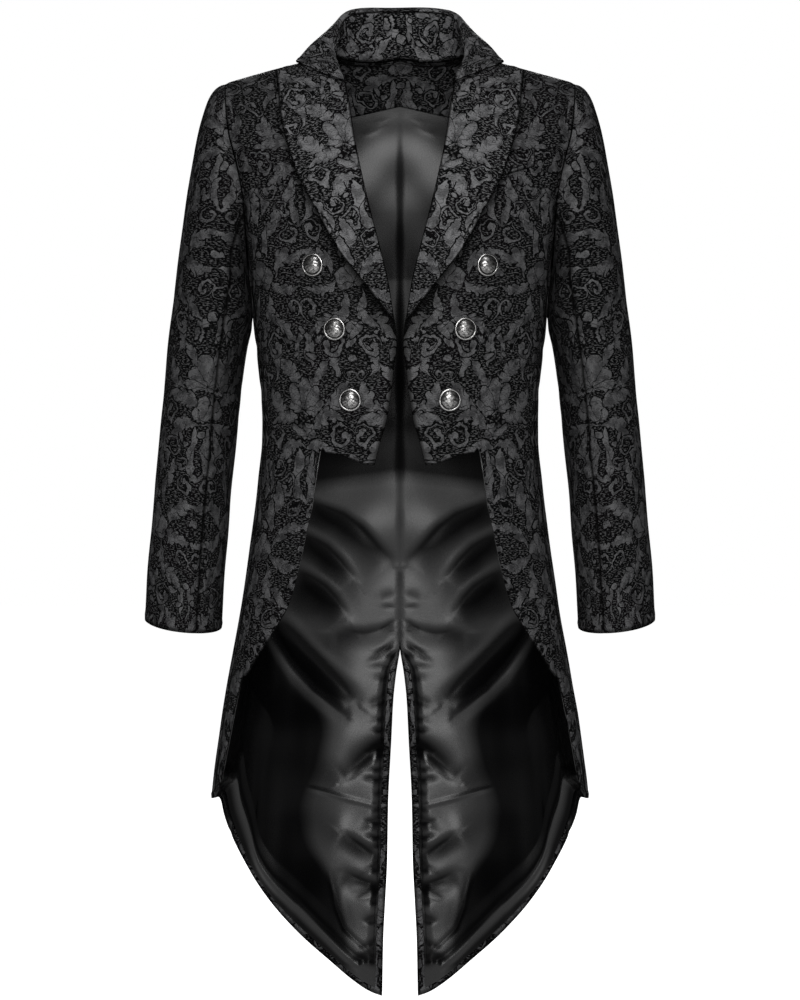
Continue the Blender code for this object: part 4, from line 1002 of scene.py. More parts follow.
def shell(name, points, places, thickness, outside, inside=None, mirrored=False, rounded=0.4, shade=None):
    """A thin closed piece of cloth on a grid of points: face, back and a rounded turned-in edge."""
    points = np.array(points)
    normals = grid_normals(points)
    rows, columns = points.shape[:2]
    back = points - normals * thickness
    ring = [(0, j) for j in range(columns)] + [(i, columns - 1) for i in range(1, rows)]
    ring += [(rows - 1, j) for j in range(columns - 2, -1, -1)] + [(i, 0) for i in range(rows - 2, 0, -1)]
    flip = np.array([-1.0, 1.0, 1.0]) if mirrored else np.ones(3)
    coords = [points.reshape(-1, 3), back.reshape(-1, 3)]
    middle = []
    for i, j in ring:
        inner_i = min(max(i, 1), rows - 2)
        inner_j = min(max(j, 1), columns - 2)
        outwards = points[i, j] - points[inner_i, inner_j]
        outwards = outwards - normals[i, j] * np.dot(outwards, normals[i, j])
        length = max(np.linalg.norm(outwards), 1e-9)
        middle.append((points[i, j] + back[i, j]) / 2 + outwards / length * thickness * rounded)
    coords.append(np.array(middle))
    coords = np.vstack(coords) * flip
    count = rows * columns
    index = np.arange(count).reshape(rows, columns)
    quads = np.stack([index[:-1, :-1], index[:-1, 1:], index[1:, 1:], index[1:, :-1]], axis=-1).reshape(-1, 4)
    faces = [tuple(q) for q in quads.tolist()]
    faces += [tuple(v + count for v in reversed(q)) for q in quads.tolist()]
    edge_start = len(faces)
    for k, (i, j) in enumerate(ring):
        following = (k + 1) % len(ring)
        a, b = index[i, j], index[ring[following]]
        m, n = 2 * count + k, 2 * count + following
        faces.append((int(b), int(a), m, n))
        faces.append((n, m, int(a) + count, int(b) + count))
    mesh = bpy.data.meshes.new(name)
    mesh.from_pydata(coords.tolist(), [], faces)
    mesh.materials.append(outside)
    mesh.materials.append(inside or outside)
    slots = np.zeros(len(faces), dtype=np.int32)
    slots[len(quads):edge_start] = 1
    mesh.polygons.foreach_set("material_index", slots)
    uv = np.vstack([places.reshape(-1, 2)] * 2 + [np.array([places[i, j] for i, j in ring])])
    layer = mesh.uv_layers.new(name="cloth")
    loops = np.zeros(len(mesh.loops), dtype=np.int32)
    mesh.loops.foreach_get("vertex_index", loops)
    layer.data.foreach_set("uv", uv[loops].ravel().astype(np.float32))
    # shade is painted shade multiplied into the colour; rim marks the piece's edges, where the jacquard
    # paints shade
    if shade is None:
        shade = np.ones((rows, columns))
    rim = np.zeros((rows, columns))
    rim[[0, -1]] = rim[:, [0, -1]] = 1.0
    for name_of, values, at_edge in (("shade", shade, None), ("rim", rim, 1.0)):
        ring_values = [values[i, j] for i, j in ring] if at_edge is None else [at_edge] * len(ring)
        layer = mesh.attributes.new(name_of, "FLOAT", "POINT")
        everywhere = np.hstack([values.ravel(), values.ravel(), ring_values])
        layer.data.foreach_set("value", everywhere.astype(np.float32))
    whole = bmesh.new()
    whole.from_mesh(mesh)
    bmesh.ops.recalc_face_normals(whole, faces=list(whole.faces))
    whole.to_mesh(mesh)
    whole.free()
    mesh.shade_smooth()
    on_ring = np.zeros(len(mesh.vertices), dtype=bool)
    on_ring[[index[i, j] for i, j in ring]] = True
    on_ring[count:2 * count] = on_ring[:count]
    ends = np.zeros(len(mesh.edges) * 2, dtype=np.int32)
    mesh.edges.foreach_get("vertices", ends)
    sharp = mesh.attributes.new("sharp_edge", "BOOLEAN", "EDGE")
    sharp.data.foreach_set("value", on_ring[ends].reshape(-1, 2).all(axis=1))
    return placed(name, mesh)


def moved(points, push):
    """The points moved outwards, square to their own surface."""
    return points + grid_normals(points) * push[..., None]


def seam_dip(edges, names, depth=0.0011, width=0.0035):
    """The cloth rolls in a little where it is sewn to its neighbour."""
    dip = 0.0
    for name in names:
        dip = dip - depth * np.exp(-(edges[name] / width) ** 2)
    return dip


def edge_ridge(edges, names, depth=0.0007, place=0.005, width=0.0022):
    """The turned-in cloth shows as a soft ridge beside an edge."""
    ridge = 0.0
    for name in names:
        ridge = ridge + depth * np.exp(-((edges[name] - place) / width) ** 2)
    return ridge


# ---- body pieces -----------------------------------------------------------------------------------
ABOVE = 22                # rows from the shoulder to where a side seam meets the armhole
BELOW = 66                # and from there to the hem


def armhole_rows(end, rows=ABOVE):
    last = math.acos(1 - 2 * end / ARMHOLE_DROP)
    return [ARMHOLE_DROP / 2 * (1 - math.cos(last * i / rows)) for i in range(rows + 1)]


def sheet_points(places):
    return np.array([[body(turn, drop) for turn, drop in row] for row in places])


@functools.lru_cache(maxsize=None)
def front_grid():
    top = front_seam_top()
    edge = lambda drop: turn_at_x(front_edge_x(drop), drop, False)

    def outer(drop):
        return armhole_turn(drop, False) if drop < top else math.radians(side_front_turn(drop))

    corner_x, corner_level = HEM_CORNER
    corner = turn_at_x(corner_x, corner_level, False)
    corner_share = (corner - edge(corner_level)) / (outer(corner_level) - edge(corner_level))
    shares = spaced(8, 0.0, corner_share)[:-1] + [between(corner_share, 1.0, s ** 1.15) for s in spaced(20)]
    columns = []
    for share in shares:
        turn_on = lambda drop: between(edge(drop), outer(drop), share)
        end = corner_level
        if share != corner_share:
            end = solve(lambda drop: front_bottom(turn_on(drop), drop), 0.40, SIDE_SEAM_END)
        drops = armhole_rows(top) + spaced(BELOW, top, end)[1:]
        columns.append([(turn_on(drop), drop) for drop in drops])
    return sheet_points(zip(*columns))


@functools.lru_cache(maxsize=None)
def side_grid():
    def turn_on(drop, share):
        return between(math.radians(side_front_turn(drop)), math.radians(side_back_turn(drop)), share)

    columns = []
    for share in spaced(12):
        def under_armhole(drop):
            turn = turn_on(drop, share)
            _, depth = section(drop, turn > math.pi / 2)
            return depth * abs(math.cos(turn)) ** (2 / ROUNDNESS) - armhole_reach(drop)

        start = solve(under_armhole, ARMHOLE_DROP / 2, ARMHOLE_DROP)
        start = {0.0: front_seam_top(), 1.0: BACK_SEAM_TOP}.get(share, start)
        end = solve(lambda drop: drop - tail_hem_at(turn_on(drop, share)), 0.60, 1.16)
        columns.append([(turn_on(drop, share), drop) for drop in spaced(BELOW, start, end)])
    return sheet_points(zip(*columns))


@functools.lru_cache(maxsize=None)
def back_grid():
    def outer(drop):
        return armhole_turn(drop, True) if drop < BACK_SEAM_TOP else math.radians(side_back_turn(drop))

    first = outer(0.0)
    neck = (turn_at_x(NECK_X, 0.0, True) - first) / (math.pi - first)
    shares = spaced(12, 0.0, neck)[:-1] + spaced(11, neck, 1.0)
    columns = []
    for share in shares:
        turn_on = lambda drop: between(outer(drop), turn_at_x(vent_x(drop), drop, True), share)
        across = lambda drop: drop - neckline_drop(body(turn_on(drop), drop)[0])
        start = solve(across, 0.0, 0.03) if share > neck else 0.0
        end = solve(lambda drop: drop - tail_hem_at(turn_on(drop)), 0.60, 1.16)
        drops = [start + drop * (1 - start / BACK_SEAM_TOP) for drop in armhole_rows(BACK_SEAM_TOP)]
        columns.append([(turn_on(drop), drop) for drop in drops + spaced(BELOW, BACK_SEAM_TOP, end)[1:]])
    return sheet_points(zip(*columns))


@functools.lru_cache(maxsize=None)
def lining_grid():
    inset = math.radians(LINING_TURN)

    def centre(drop):
        open_share = ease((drop - LINING_VENT[0]) / (LINING_VENT[1] - LINING_VENT[0]))
        return turn_at_x(vent_x(drop) + LINING_INSET * open_share, drop, True)

    def outer(drop):
        if drop < ARMHOLE_DROP:
            return armhole_turn(drop, True) + inset
        seam = math.radians(side_front_turn(drop))
        return between(math.pi / 2, seam, ease((drop - ARMHOLE_DROP) / 0.05)) + inset

    def hem(turn):
        at_side = ease((math.radians(LINING_HEM_TURN) - turn) / 0.5)
        return tail_hem_at(turn - inset * at_side) - LINING_INSET

    first = armhole_turn(0.0, True)
    neck = (turn_at_x(FACING_X, 0.0, True) - first) / (math.pi - first)
    columns = []
    for share in spaced(16, 0.0, neck)[:-1] + spaced(14, neck, 1.0):
        turn_on = lambda drop: between(outer(drop), centre(drop), share)
        start = FACING_BOTTOM + SEAM if share >= neck else LINING_TOP
        end = solve(lambda drop: drop - hem(turn_on(drop)), 0.60, 1.16)
        drops = [between(start, ARMHOLE_DROP, drop / ARMHOLE_DROP) for drop in armhole_rows(ARMHOLE_DROP)]
        columns.append([(turn_on(drop), drop) for drop in drops + spaced(BELOW, ARMHOLE_DROP, end)[1:]])
    return sheet_points(zip(*columns))


def drawn_in(points, amount, top=0, bottom=0, first=0, last=0):
    """Draws the named edges in by this share of a seam gap."""
    moved_points = points.copy()
    for edge, inner, on in ((0, 1, top), (-1, -2, bottom)):
        step = points[inner] - points[edge]
        length = np.maximum(np.linalg.norm(step, axis=1, keepdims=True), 1e-9)
        moved_points[edge] += step / length * amount * on
    for edge, inner, on in ((0, 1, first), (-1, -2, last)):
        step = points[:, inner] - points[:, edge]
        length = np.maximum(np.linalg.norm(step, axis=1, keepdims=True), 1e-9)
        moved_points[:, edge] += step / length * amount * on
    return moved_points


FRONT_FIGURE = (0.008, 0.418)   # how far a figure on the foreparts stands from the middle and below the neck
FRONT_CREASES = (
    (-0.0016, 0.009, 1.0, ((0.172, -0.262), (0.150, -0.290), (0.128, -0.318))),
    (-0.0012, 0.008, 1.0, ((0.170, -0.300), (0.150, -0.330))),
    (0.0014, 0.012, 1.0, ((0.185, -0.120), (0.178, -0.180), (0.172, -0.235))),
    (-0.0010, 0.010, 1.0, ((0.060, -0.345), (0.100, -0.372), (0.140, -0.385))),
    (-0.0012, 0.012, 1.0, ((0.098, -0.450), (0.128, -0.520), (0.150, -0.600))),
)
BACK_CREASES = (
    (-0.0016, 0.009, 1.0, ((0.165, -0.200), (0.140, -0.235), (0.112, -0.262))),
    (-0.0014, 0.010, 1.0, ((0.020, -0.395), (0.070, -0.415), (0.110, -0.420))),
    (-0.0012, 0.009, 1.0, ((0.040, -0.440), (0.080, -0.452), (0.130, -0.445))),
    (-0.0016, 0.012, 1.0, ((0.060, -0.560), (0.075, -0.700), (0.085, -0.860))),
    (0.0014, 0.014, 1.0, ((0.130, -0.620), (0.140, -0.760), (0.150, -0.880))),
)
SIDE_CREASES = (
    (-0.0014, 0.010, 1.0, ((-0.040, -0.330), (0.010, -0.350), (0.050, -0.342))),
    (-0.0012, 0.009, 1.0, ((-0.020, -0.390), (0.030, -0.408))),
    (-0.0012, 0.012, 1.0, ((0.010, -0.560), (0.016, -0.700))),
)
VENT_TOP = -0.72          # where the tails part
BACK_EVENED = 12          # times that the back panels are evened out down their length
LINING_EVENED = 60        # and the lining
PUCKER_LEVELS = (-0.645, -1.120)   # between which their seam is puckered
LINING_FULL = 0.0085      # how far the lining stands off the back where nothing holds it
LINING_LEAN = 0.010       # how much further its outer part stands off, beside the long fold of each tail
TAIL_FOLD_LINE = (
    (0.1900, -0.6660), (0.1380, -0.7440), (0.1090, -0.7790), (0.0873, -0.8049), (0.0947, -0.8395),
    (0.1034, -0.8729), (0.1211, -0.9013), (0.1162, -0.9570), (0.0865, -1.0002), (0.0600, -1.0450),
)
# folds of the satin lining, as seen from the front: below 0 it lies nearer the back
LINING_CREASES = (
    (-0.0070, 0.0065, 3.5, ((0.1240, -0.5240), (0.0964, -0.5379), (0.0717, -0.5478), (0.0519, -0.5626),
                            (0.0346, -0.5799), (0.0100, -0.6050))),
    (-0.0065, 0.0070, 3.0, ((0.1300, -0.5650), (0.0927, -0.5886), (0.0766, -0.6047), (0.0580, -0.6280))),
    (-0.0065, 0.0075, 3.0, ((0.1340, -0.6110), (0.0964, -0.6380), (0.0828, -0.6516), (0.0680, -0.6739))),
    (-0.0040, 0.0060, 3.0, ((0.0800, -0.6937), (0.0433, -0.6961), (0.0140, -0.6900))),
    (-0.0110, 0.0120, 1.6, ((0.1560, -0.6750), (0.1211, -0.7184), (0.0964, -0.7443), (0.0580, -0.7800))),
    (0.0070, 0.0060, 1.6, ((0.1640, -0.6940), (0.1335, -0.7389), (0.1137, -0.7656), (0.0700, -0.7986))),
    (-0.0060, 0.0065, 2.5, ((0.0080, -0.8250), (0.0371, -0.8482), (0.0700, -0.8769))),
    (-0.0055, 0.0060, 2.5, ((0.0705, -0.9480), (0.0519, -0.9607), (0.0250, -0.9795))),
    (-0.0050, 0.0060, 2.5, ((0.0700, -0.9960), (0.0445, -1.0076), (0.0200, -1.0138))),
    (0.0026, 0.0020, 1.0, ((0.1187, -0.8877), (0.0742, -0.9013), (0.0250, -0.9137))),
    (-0.0026, 0.0020, 1.0, ((0.0920, -0.9950), (0.0816, -1.0398), (0.0700, -1.0665), (0.0284, -1.1053))),
    (-0.0006, 0.0040, 1.5, ((0.0160, -0.0660), (0.0309, -0.0756), (0.0450, -0.0810))),
)


@functools.lru_cache(maxsize=None)
def seam_puckers():
    """Short slanting tucks that run from the middle seam and the vent."""
    chance = random.Random(71)
    rows = []
    level = PUCKER_LEVELS[0]
    while level > PUCKER_LEVELS[1]:
        near = vent_x(-level) + 0.006
        reach = chance.uniform(0.010, 0.034)
        fall = chance.uniform(-0.4, 0.9) * reach
        path = ((near, level), (near + reach / 2, level - fall * 0.6), (near + reach, level - fall))
        depth = -chance.uniform(0.0012, 0.0030)
        width = chance.uniform(0.0020, 0.0036)
        gentle = chance.uniform(1.0, 2.5)
        rows.append((depth, width, gentle, path))
        level -= chance.uniform(0.007, 0.019)
    return tuple(rows)


def beyond_fold(flat):
    """How far each place of the lining lies outside the long fold of its tail, in metres."""
    turns = sorted((level, x) for x, level in TAIL_FOLD_LINE)
    levels, across = zip(*turns)
    near = (-0.018, -0.009, 0.0, 0.009, 0.018)
    line = sum(np.interp(flat[..., 1] + step, levels, across) for step in near) / len(near)
    return 0.85 * (flat[..., 0] - line)


def softened(values, passes):
    """Values down a grid, evened out with their neighbours above and below, apart from the first and last."""
    for _ in range(passes):
        values = np.concatenate([values[:1], (values[:-2] + 2 * values[1:-1] + values[2:]) / 4, values[-1:]])
    return values


def lining_shade(flat):
    """Painted shade of the lining, 1 where it is fully lit, and how far each place lies beyond its tail's
    fold.

    The shade is painted dark in the closed front, in the troughs of creases and tucks and beyond the folds.
    """
    level = flat[..., 1]
    # painted shadow of the closed fronts: dark inside them, lighter towards the neck, full light below their
    # hem
    open_front = np.clip((-0.487 - level - 0.12 * flat[..., 0]) / 0.02, 0.0, 1.0)
    near_neck = np.clip((level + 0.178) / 0.075, 0.0, 1.0)
    shade = np.maximum(0.12 + 0.42 * near_neck, open_front)
    low = np.clip((-0.64 - level) / 0.04, 0.0, 1.0)
    outside = beyond_fold(flat)
    # painted shade beyond each tail's long fold, made faintly streaky
    streaks = 0.86 + 0.03 * uneven(flat * (1.0, 0.12), 0.02, 29)
    shade = shade * (1 - streaks * np.clip(outside / 0.016 + 0.45, 0.0, 1.0) * low)
    # painted shade in the troughs of the creases and of the seam's tucks
    troughs = np.clip(-creased(flat, LINING_CREASES) / 0.0055, 0.0, 0.84)
    tucks = np.clip(-creased(flat, seam_puckers()) / 0.0022, 0.0, 0.65)
    return shade * (1 - troughs) * (1 - tucks), np.clip(outside / 0.06, 0.0, 1.0) ** 1.5 * low


def chart(points, axes="xz"):
    """The points seen square on: from the front or back, or from the side."""
    level = np.abs(points[..., 0]) if axes == "xz" else points[..., 1]
    return np.stack([level, points[..., 2]], axis=-1)


@functools.lru_cache(maxsize=None)
def lapel_outline():
    edge = [lapel(along, 1.0)[0] for along in spaced(14)]
    return tuple((abs(point[0]), point[2]) for point in edge)


# path along the armhole seam, beside which the forepart gets painted shade
ARMHOLE_LINE = (
    (0.197, -0.020), (0.190, -0.080), (0.184, -0.130), (0.180, -0.190), (0.183, -0.240), (0.190, -0.270),
)


def beside(grid, path, width=0.010, dark=0.62):
    """Painted shade: cloth is darkened close beside what lies on it or meets it, and more so towards the
    path's end.
    """
    gap, along = path_distance(chart(grid), path)
    reach = width * (0.5 + 1.3 * along ** 2)
    return 1 - dark * (0.8 + 0.5 * along ** 2) * np.exp(-(gap / reach) ** 2)


def make_body(side, mirrored, jacquard, lining):
    pieces = {}
    seed = 3 if mirrored else 5
    grid = drawn_in(refined(front_grid(), 2, 2), SEAM / 2, top=1, last=1)
    edges = edge_distance(grid)
    places = cloth_places(grid, ABOVE * 2, grid[:, :1, 0]) + FRONT_FIGURE
    push = creased(chart(grid), FRONT_CREASES) + 0.0006 * uneven(chart(grid), 0.09, seed)
    push = push * np.clip(edges["first"] / 0.03, 0, 1) * np.clip(edges["bottom"] / 0.02, 0, 1)
    push = push + seam_dip(edges, ("top", "last")) + edge_ridge(edges, ("first", "bottom"))
    # painted shadow beside the lapel's outer edge and along the armhole seam
    shade = beside(grid, lapel_outline()) * beside(grid, ARMHOLE_LINE, 0.006, 0.45)
    pieces["front"] = shell("forepart_" + side, moved(grid, push), places, SHELL, jacquard, lining,
                            mirrored, shade=shade)
    grid = drawn_in(refined(side_grid(), 2, 2), SEAM / 2, top=1, first=1, last=1)
    edges = edge_distance(grid)
    places = cloth_places(grid, 0, 0.185) + FRONT_FIGURE
    push = creased(chart(grid, "yz"), SIDE_CREASES) + 0.0006 * uneven(chart(grid, "yz"), 0.08, seed + 1)
    push = push + seam_dip(edges, ("top", "first", "last")) + edge_ridge(edges, ("bottom",))
    pieces["side"] = shell("side_body_" + side, moved(grid, push), places, SHELL, jacquard, lining, mirrored)
    grid = drawn_in(refined(back_grid(), 2, 2), SEAM / 2, top=1, first=1, last=1)
    edges = edge_distance(grid)
    evened = softened(grid[..., 1], BACK_EVENED)
    grid[..., 1] += (evened - grid[..., 1]) * np.clip(edges["first"] / 0.03, 0, 1)
    places = cloth_places(grid, ABOVE * 2, 0.0)
    places = places - places[:, -1:] * (1.0, 0.0) + (0.0, FRONT_FIGURE[1])
    push = creased(chart(grid), BACK_CREASES) + 0.0006 * uneven(chart(grid), 0.09, seed + 2)
    vent = (grid[..., 2] < VENT_TOP) * 1.0
    push = push + seam_dip(edges, ("top", "first")) + seam_dip(edges, ("last",)) * (1 - vent)
    push = push + edge_ridge(edges, ("bottom",)) + edge_ridge(edges, ("last",)) * vent
    pieces["back"] = shell("back_panel_" + side, moved(grid, push), places, SHELL, jacquard, jacquard,
                           mirrored)
    grid = refined(lining_grid(), 5, 3)
    grid[..., 1:] = softened(grid[..., 1:], LINING_EVENED)
    grid = grid - grid_normals(grid) * (SHELL + LINING_EASE)
    grid = drawn_in(grid, SEAM / 2, last=1)
    edges = edge_distance(grid)
    places = cloth_places(grid, ABOVE * 5, 0.0)
    flat = chart(grid)
    shade, beyond = lining_shade(flat)
    below_vent = grid[..., 2] < VENT_TOP
    free = np.minimum(edges["first"], np.minimum(edges["top"], edges["bottom"]))
    full = LINING_FULL * np.clip(np.minimum(edges["first"], edges["bottom"]) / 0.03, 0.0, 1.0) ** 0.7
    full = full * (1 - np.exp(-edges["top"] / 0.042))
    full = full + LINING_LEAN * beyond * np.clip(free / 0.05, 0.0, 1.0)
    at_vent = np.clip(edges["last"] / (0.008 + 0.002 * uneven(flat, 0.05, 27)), 0.0, 1.0) ** 0.5
    at_seam = 1 - 0.12 * np.exp(-(edges["last"] / 0.003) ** 2)
    full = full * np.where(below_vent, at_vent, at_seam)
    held = np.clip(free / 0.012, 0.0, 1.0)
    push = -full - (0.6 * creased(flat, LINING_CREASES) + 0.0010 * uneven(flat, 0.085, 21)) * held
    push = push - 0.45 * creased(flat, seam_puckers()) * held
    hem_roll = np.exp(-((edges["bottom"] - 0.016) / 0.0075) ** 2) * (edges["last"] > 0.02)
    push = push - 0.0045 * hem_roll
    # painted light on the hem's roll, and a band of painted shade just above it
    shade = np.maximum(shade, hem_roll) * (1 - 0.7 * np.exp(-((edges["bottom"] - 0.030) / 0.006) ** 2))
    push = np.minimum(push, 0.0006)
    pieces["lining"] = shell("satin_lining_" + side, moved(grid, push), places, SATIN, lining, lining,
                             mirrored, shade=shade)
    return pieces


# ---- lapels, collar, facing, welt ------------------------------------------------------------------
LAPEL_LIFT = 0.006        # how far a lapel's lower edge stands off the forepart


def make_lapel(side, mirrored, jacquard):
    cells = [[lapel(along, across)[0] for across in spaced(34)] for along in spaced(84)]
    grid = drawn_in(np.array(cells), SEAM, top=1)
    edges = edge_distance(grid)
    places = cloth_places(grid, 20, grid[:, :1, 0])
    places = places @ np.array([[0.94, 0.34], [-0.34, 0.94]]) + (0.031, 0.082)
    push = edge_ridge(edges, ("last", "top"), 0.0006, 0.004, 0.0018)
    free = np.exp(-((grid[..., 2] + 0.27) / 0.05) ** 2) * np.clip(edges["first"] / 0.05, 0, 1) ** 1.5
    push = push + LAPEL_LIFT * free
    push = push + 0.0022 * np.clip(edges["first"] / 0.03, 0, 1) * np.clip(edges["top"] / 0.03, 0, 1)
    push = push + 0.0007 * uneven(chart(grid), 0.10, 31) * np.clip(edges["first"] / 0.02, 0, 1)
    return shell("lapel_facing_" + side, moved(grid, push), places, LAPEL_WALL, jacquard, jacquard,
                 mirrored, 0.5)


def make_collar(jacquard):
    rounds = 64
    pieces = []
    for name, low, high, rows, reach in (("stand_of_collar", 0.0, STAND_TOP, 14, 10 / 14),
                                         ("leaf_of_collar", STAND_TOP, 1.0, 30, 1.0)):
        steps = [reach * i / rounds for i in range(-rounds, rounds + 1)]
        grid = np.array([[collar(share, over) for share in steps] for over in spaced(rows, low, high)])
        gap = {"top": 1, "bottom": 4} if low == 0.0 else {"top": 1, "first": 5, "last": 5}
        grid = drawn_in(grid[:, ::-1], SEAM / 2, **gap)
        edges = edge_distance(grid)
        places = np.stack([edges["first"] - edges["last"], -edges["top"] * 2], axis=-1) / 2 + (0.0, 0.11)
        push = 0.0 * edges["top"]
        if low:
            push = push + edge_ridge(edges, ("bottom",), 0.0006, 0.004, 0.0018)
            push = push + 0.0006 * uneven(places, 0.06, 41)
        else:
            push = push + 0.0004 * uneven(places, 0.05, 43)
        pieces.append(shell(name, moved(grid, push), places, COLLAR_WALL, jacquard, jacquard, False, 0.5))
    return pieces


def make_facing(jacquard):
    cells = []
    for down in spaced(22):
        row = []
        for share in spaced(80, -1.0, 1.0):
            x = between(NECK_X - FACING_TOP, FACING_X, down) * abs(share)
            drop = between(neckline_drop(x) + FACING_TOP, FACING_BOTTOM, down)
            turn = turn_at_x(x, drop, True)
            row.append(body(turn if share >= 0 else 2 * math.pi - turn, drop))
        cells.append(row)
    grid = np.array(cells)[:, ::-1]
    grid = grid - grid_normals(grid) * (SHELL + FACING_EASE)
    edges = edge_distance(grid)
    places = np.stack([(edges["first"] - edges["last"]) / 2, -edges["top"]], axis=-1) + (0.0, -0.02)
    push = -edge_ridge(edges, ("bottom",), 0.0005, 0.003, 0.0015)
    return shell("back_neck_facing", moved(grid, push), places, FACING_WALL, jacquard, jacquard)


def make_welt(jacquard):
    (inner_x, inner_z), (outer_x, outer_z) = WELT_CORNERS
    cells = []
    for down in spaced(10):
        row = []
        for across in spaced(26):
            x = between(inner_x, outer_x, across)
            z = between(inner_z, outer_z, across) + WELT_HEIGHT * (1 - down)
            row.append(on_front(x, z, WELT_WALL + SEAM)[0])
        cells.append(row)
    grid = np.array(cells)
    edges = edge_distance(grid)
    places = cloth_places(grid, 0, grid[:, :1, 0]) + (0.02, 0.05)
    push = edge_ridge(edges, ("top", "bottom", "first", "last"), 0.0004, 0.0022, 0.001)
    return shell("breast_welt_cloth", moved(grid, push), places, WELT_WALL, jacquard, jacquard)


# ---- sleeves ---------------------------------------------------------------------------------------
SLEEVE_FIGURE = 0.334     # how far below the neck a figure stands on the sleeves
SLEEVE_CREASES = (
    (-0.0030, 0.0080, 1.0, ((0.186, -0.225), (0.205, -0.235), (0.226, -0.262))),
    (-0.0026, 0.0080, 1.0, ((0.186, -0.262), (0.205, -0.285), (0.232, -0.300))),
    (-0.0022, 0.0090, 1.0, ((0.262, -0.290), (0.245, -0.325), (0.215, -0.350))),
    (-0.0024, 0.0080, 1.0, ((0.195, -0.392), (0.222, -0.398), (0.250, -0.380))),
    (-0.0020, 0.0080, 1.0, ((0.198, -0.425), (0.220, -0.440), (0.255, -0.436))),
    (-0.0018, 0.0090, 1.0, ((0.276, -0.400), (0.262, -0.450), (0.250, -0.500))),
    (-0.0014, 0.0100, 1.0, ((0.235, -0.120), (0.222, -0.160), (0.215, -0.200))),
    (-0.0016, 0.0100, 1.0, ((0.285, -0.520), (0.262, -0.560), (0.235, -0.590))),
)


def seam_angles():
    """The angles round the armhole at which the part's under sleeve begins and ends."""
    front = math.acos(1 - 2 * front_seam_top() / ARMHOLE_DROP)
    back = math.acos(1 - 2 * BACK_SEAM_TOP / ARMHOLE_DROP)
    return front * 7 / 9, 2 * math.pi - back * 7 / 9


@functools.lru_cache(maxsize=None)
def sleeve_grid(high, low, columns):
    return np.array([[sleeve(angle % (2 * math.pi), share ** 1.15) for angle in spaced(columns, high, low)]
                     for share in spaced(56)])


def sleeve_places(grid, edges):
    """The cloth wound round the arm: across from the middle of its front, and up from the cuff."""
    down = -0.17 - grid[..., 2]
    out_x = grid[..., 0] - (0.208 + down * 0.097)
    out_y = grid[..., 1] - (0.005 - np.maximum(down, 0.0) ** 2 * 0.12)
    turn = np.unwrap(np.arctan2(out_x, -out_y), axis=1)
    turn = turn - 2 * math.pi * (turn[:, turn.shape[1] // 2][:, None] < -2.0)
    return np.stack([turn * 0.062, edges["bottom"] - 0.62 + SLEEVE_FIGURE], axis=-1)


def make_sleeve(side, mirrored, jacquard, lining):
    first, last = seam_angles()
    pieces = []
    for name, low, high, columns in (
        ("under_sleeve_", first, last, 21),
        ("top_sleeve_", last - 2 * math.pi, first, 28),
    ):
        grid = refined(sleeve_grid(high, low, columns), 3, 2)
        grid = drawn_in(grid, SEAM, top=1)
        grid = drawn_in(grid, SEAM / 2, first=1, last=1)
        edges = edge_distance(grid)
        length = edges["top"]
        places = sleeve_places(grid, edges)
        front = grid[..., 1] < 0.02
        flat = chart(grid)
        push = creased(flat, SLEEVE_CREASES) * np.where(front, 1.0, 0.0)
        push = push + creased(flat + (0.004, 0.02), SLEEVE_CREASES) * np.where(front, 0.0, 0.9)
        push = push + 0.0008 * uneven(places, 0.085, 51)
        ease_in = np.clip(length / 0.02, 0, 1)
        push = push * ease_in - 0.0012 * np.exp(-(length / 0.003) ** 2) + seam_dip(edges, ("first", "last"))
        push = push + edge_ridge(edges, ("bottom",))
        inner = np.clip(-grid_normals(grid)[..., 0], 0.0, 1.0)
        push = push + 0.0040 * inner * np.exp(-((grid[..., 2] + 0.282) / 0.022) ** 2)
        # painted shade on the sleeve's inner side, next to the body, less towards the cuff
        shade = 1 - 0.6 * inner ** 1.5 * np.clip((grid[..., 2] + 0.62) / 0.25, 0.3, 1.0)
        pieces.append(shell(name + "cloth_" + side, moved(grid, push), places, SHELL, jacquard, lining,
                            mirrored, shade=shade))
    return pieces


# ---- buttons ---------------------------------------------------------------------------------------
# radius and height of a button's turned form, from its shank to its crown
BUTTON_PROFILE = (
    (0.0021, 0.0002), (0.0021, 0.0020), (0.0090, 0.0024), (0.0118, 0.0028), (0.0130, 0.0033),
    (0.0133, 0.0038), (0.0132, 0.0044), (0.0128, 0.0050), (0.0122, 0.0054), (0.0116, 0.0055),
    (0.0111, 0.0052), (0.0107, 0.0049), (0.0102, 0.0053), (0.0095, 0.0061), (0.0085, 0.0071),
    (0.0073, 0.0080), (0.0058, 0.0087), (0.0040, 0.0092), (0.0020, 0.0095),
)
BUTTON_HEIGHT = 0.0097
BUTTON_SIDES = 72


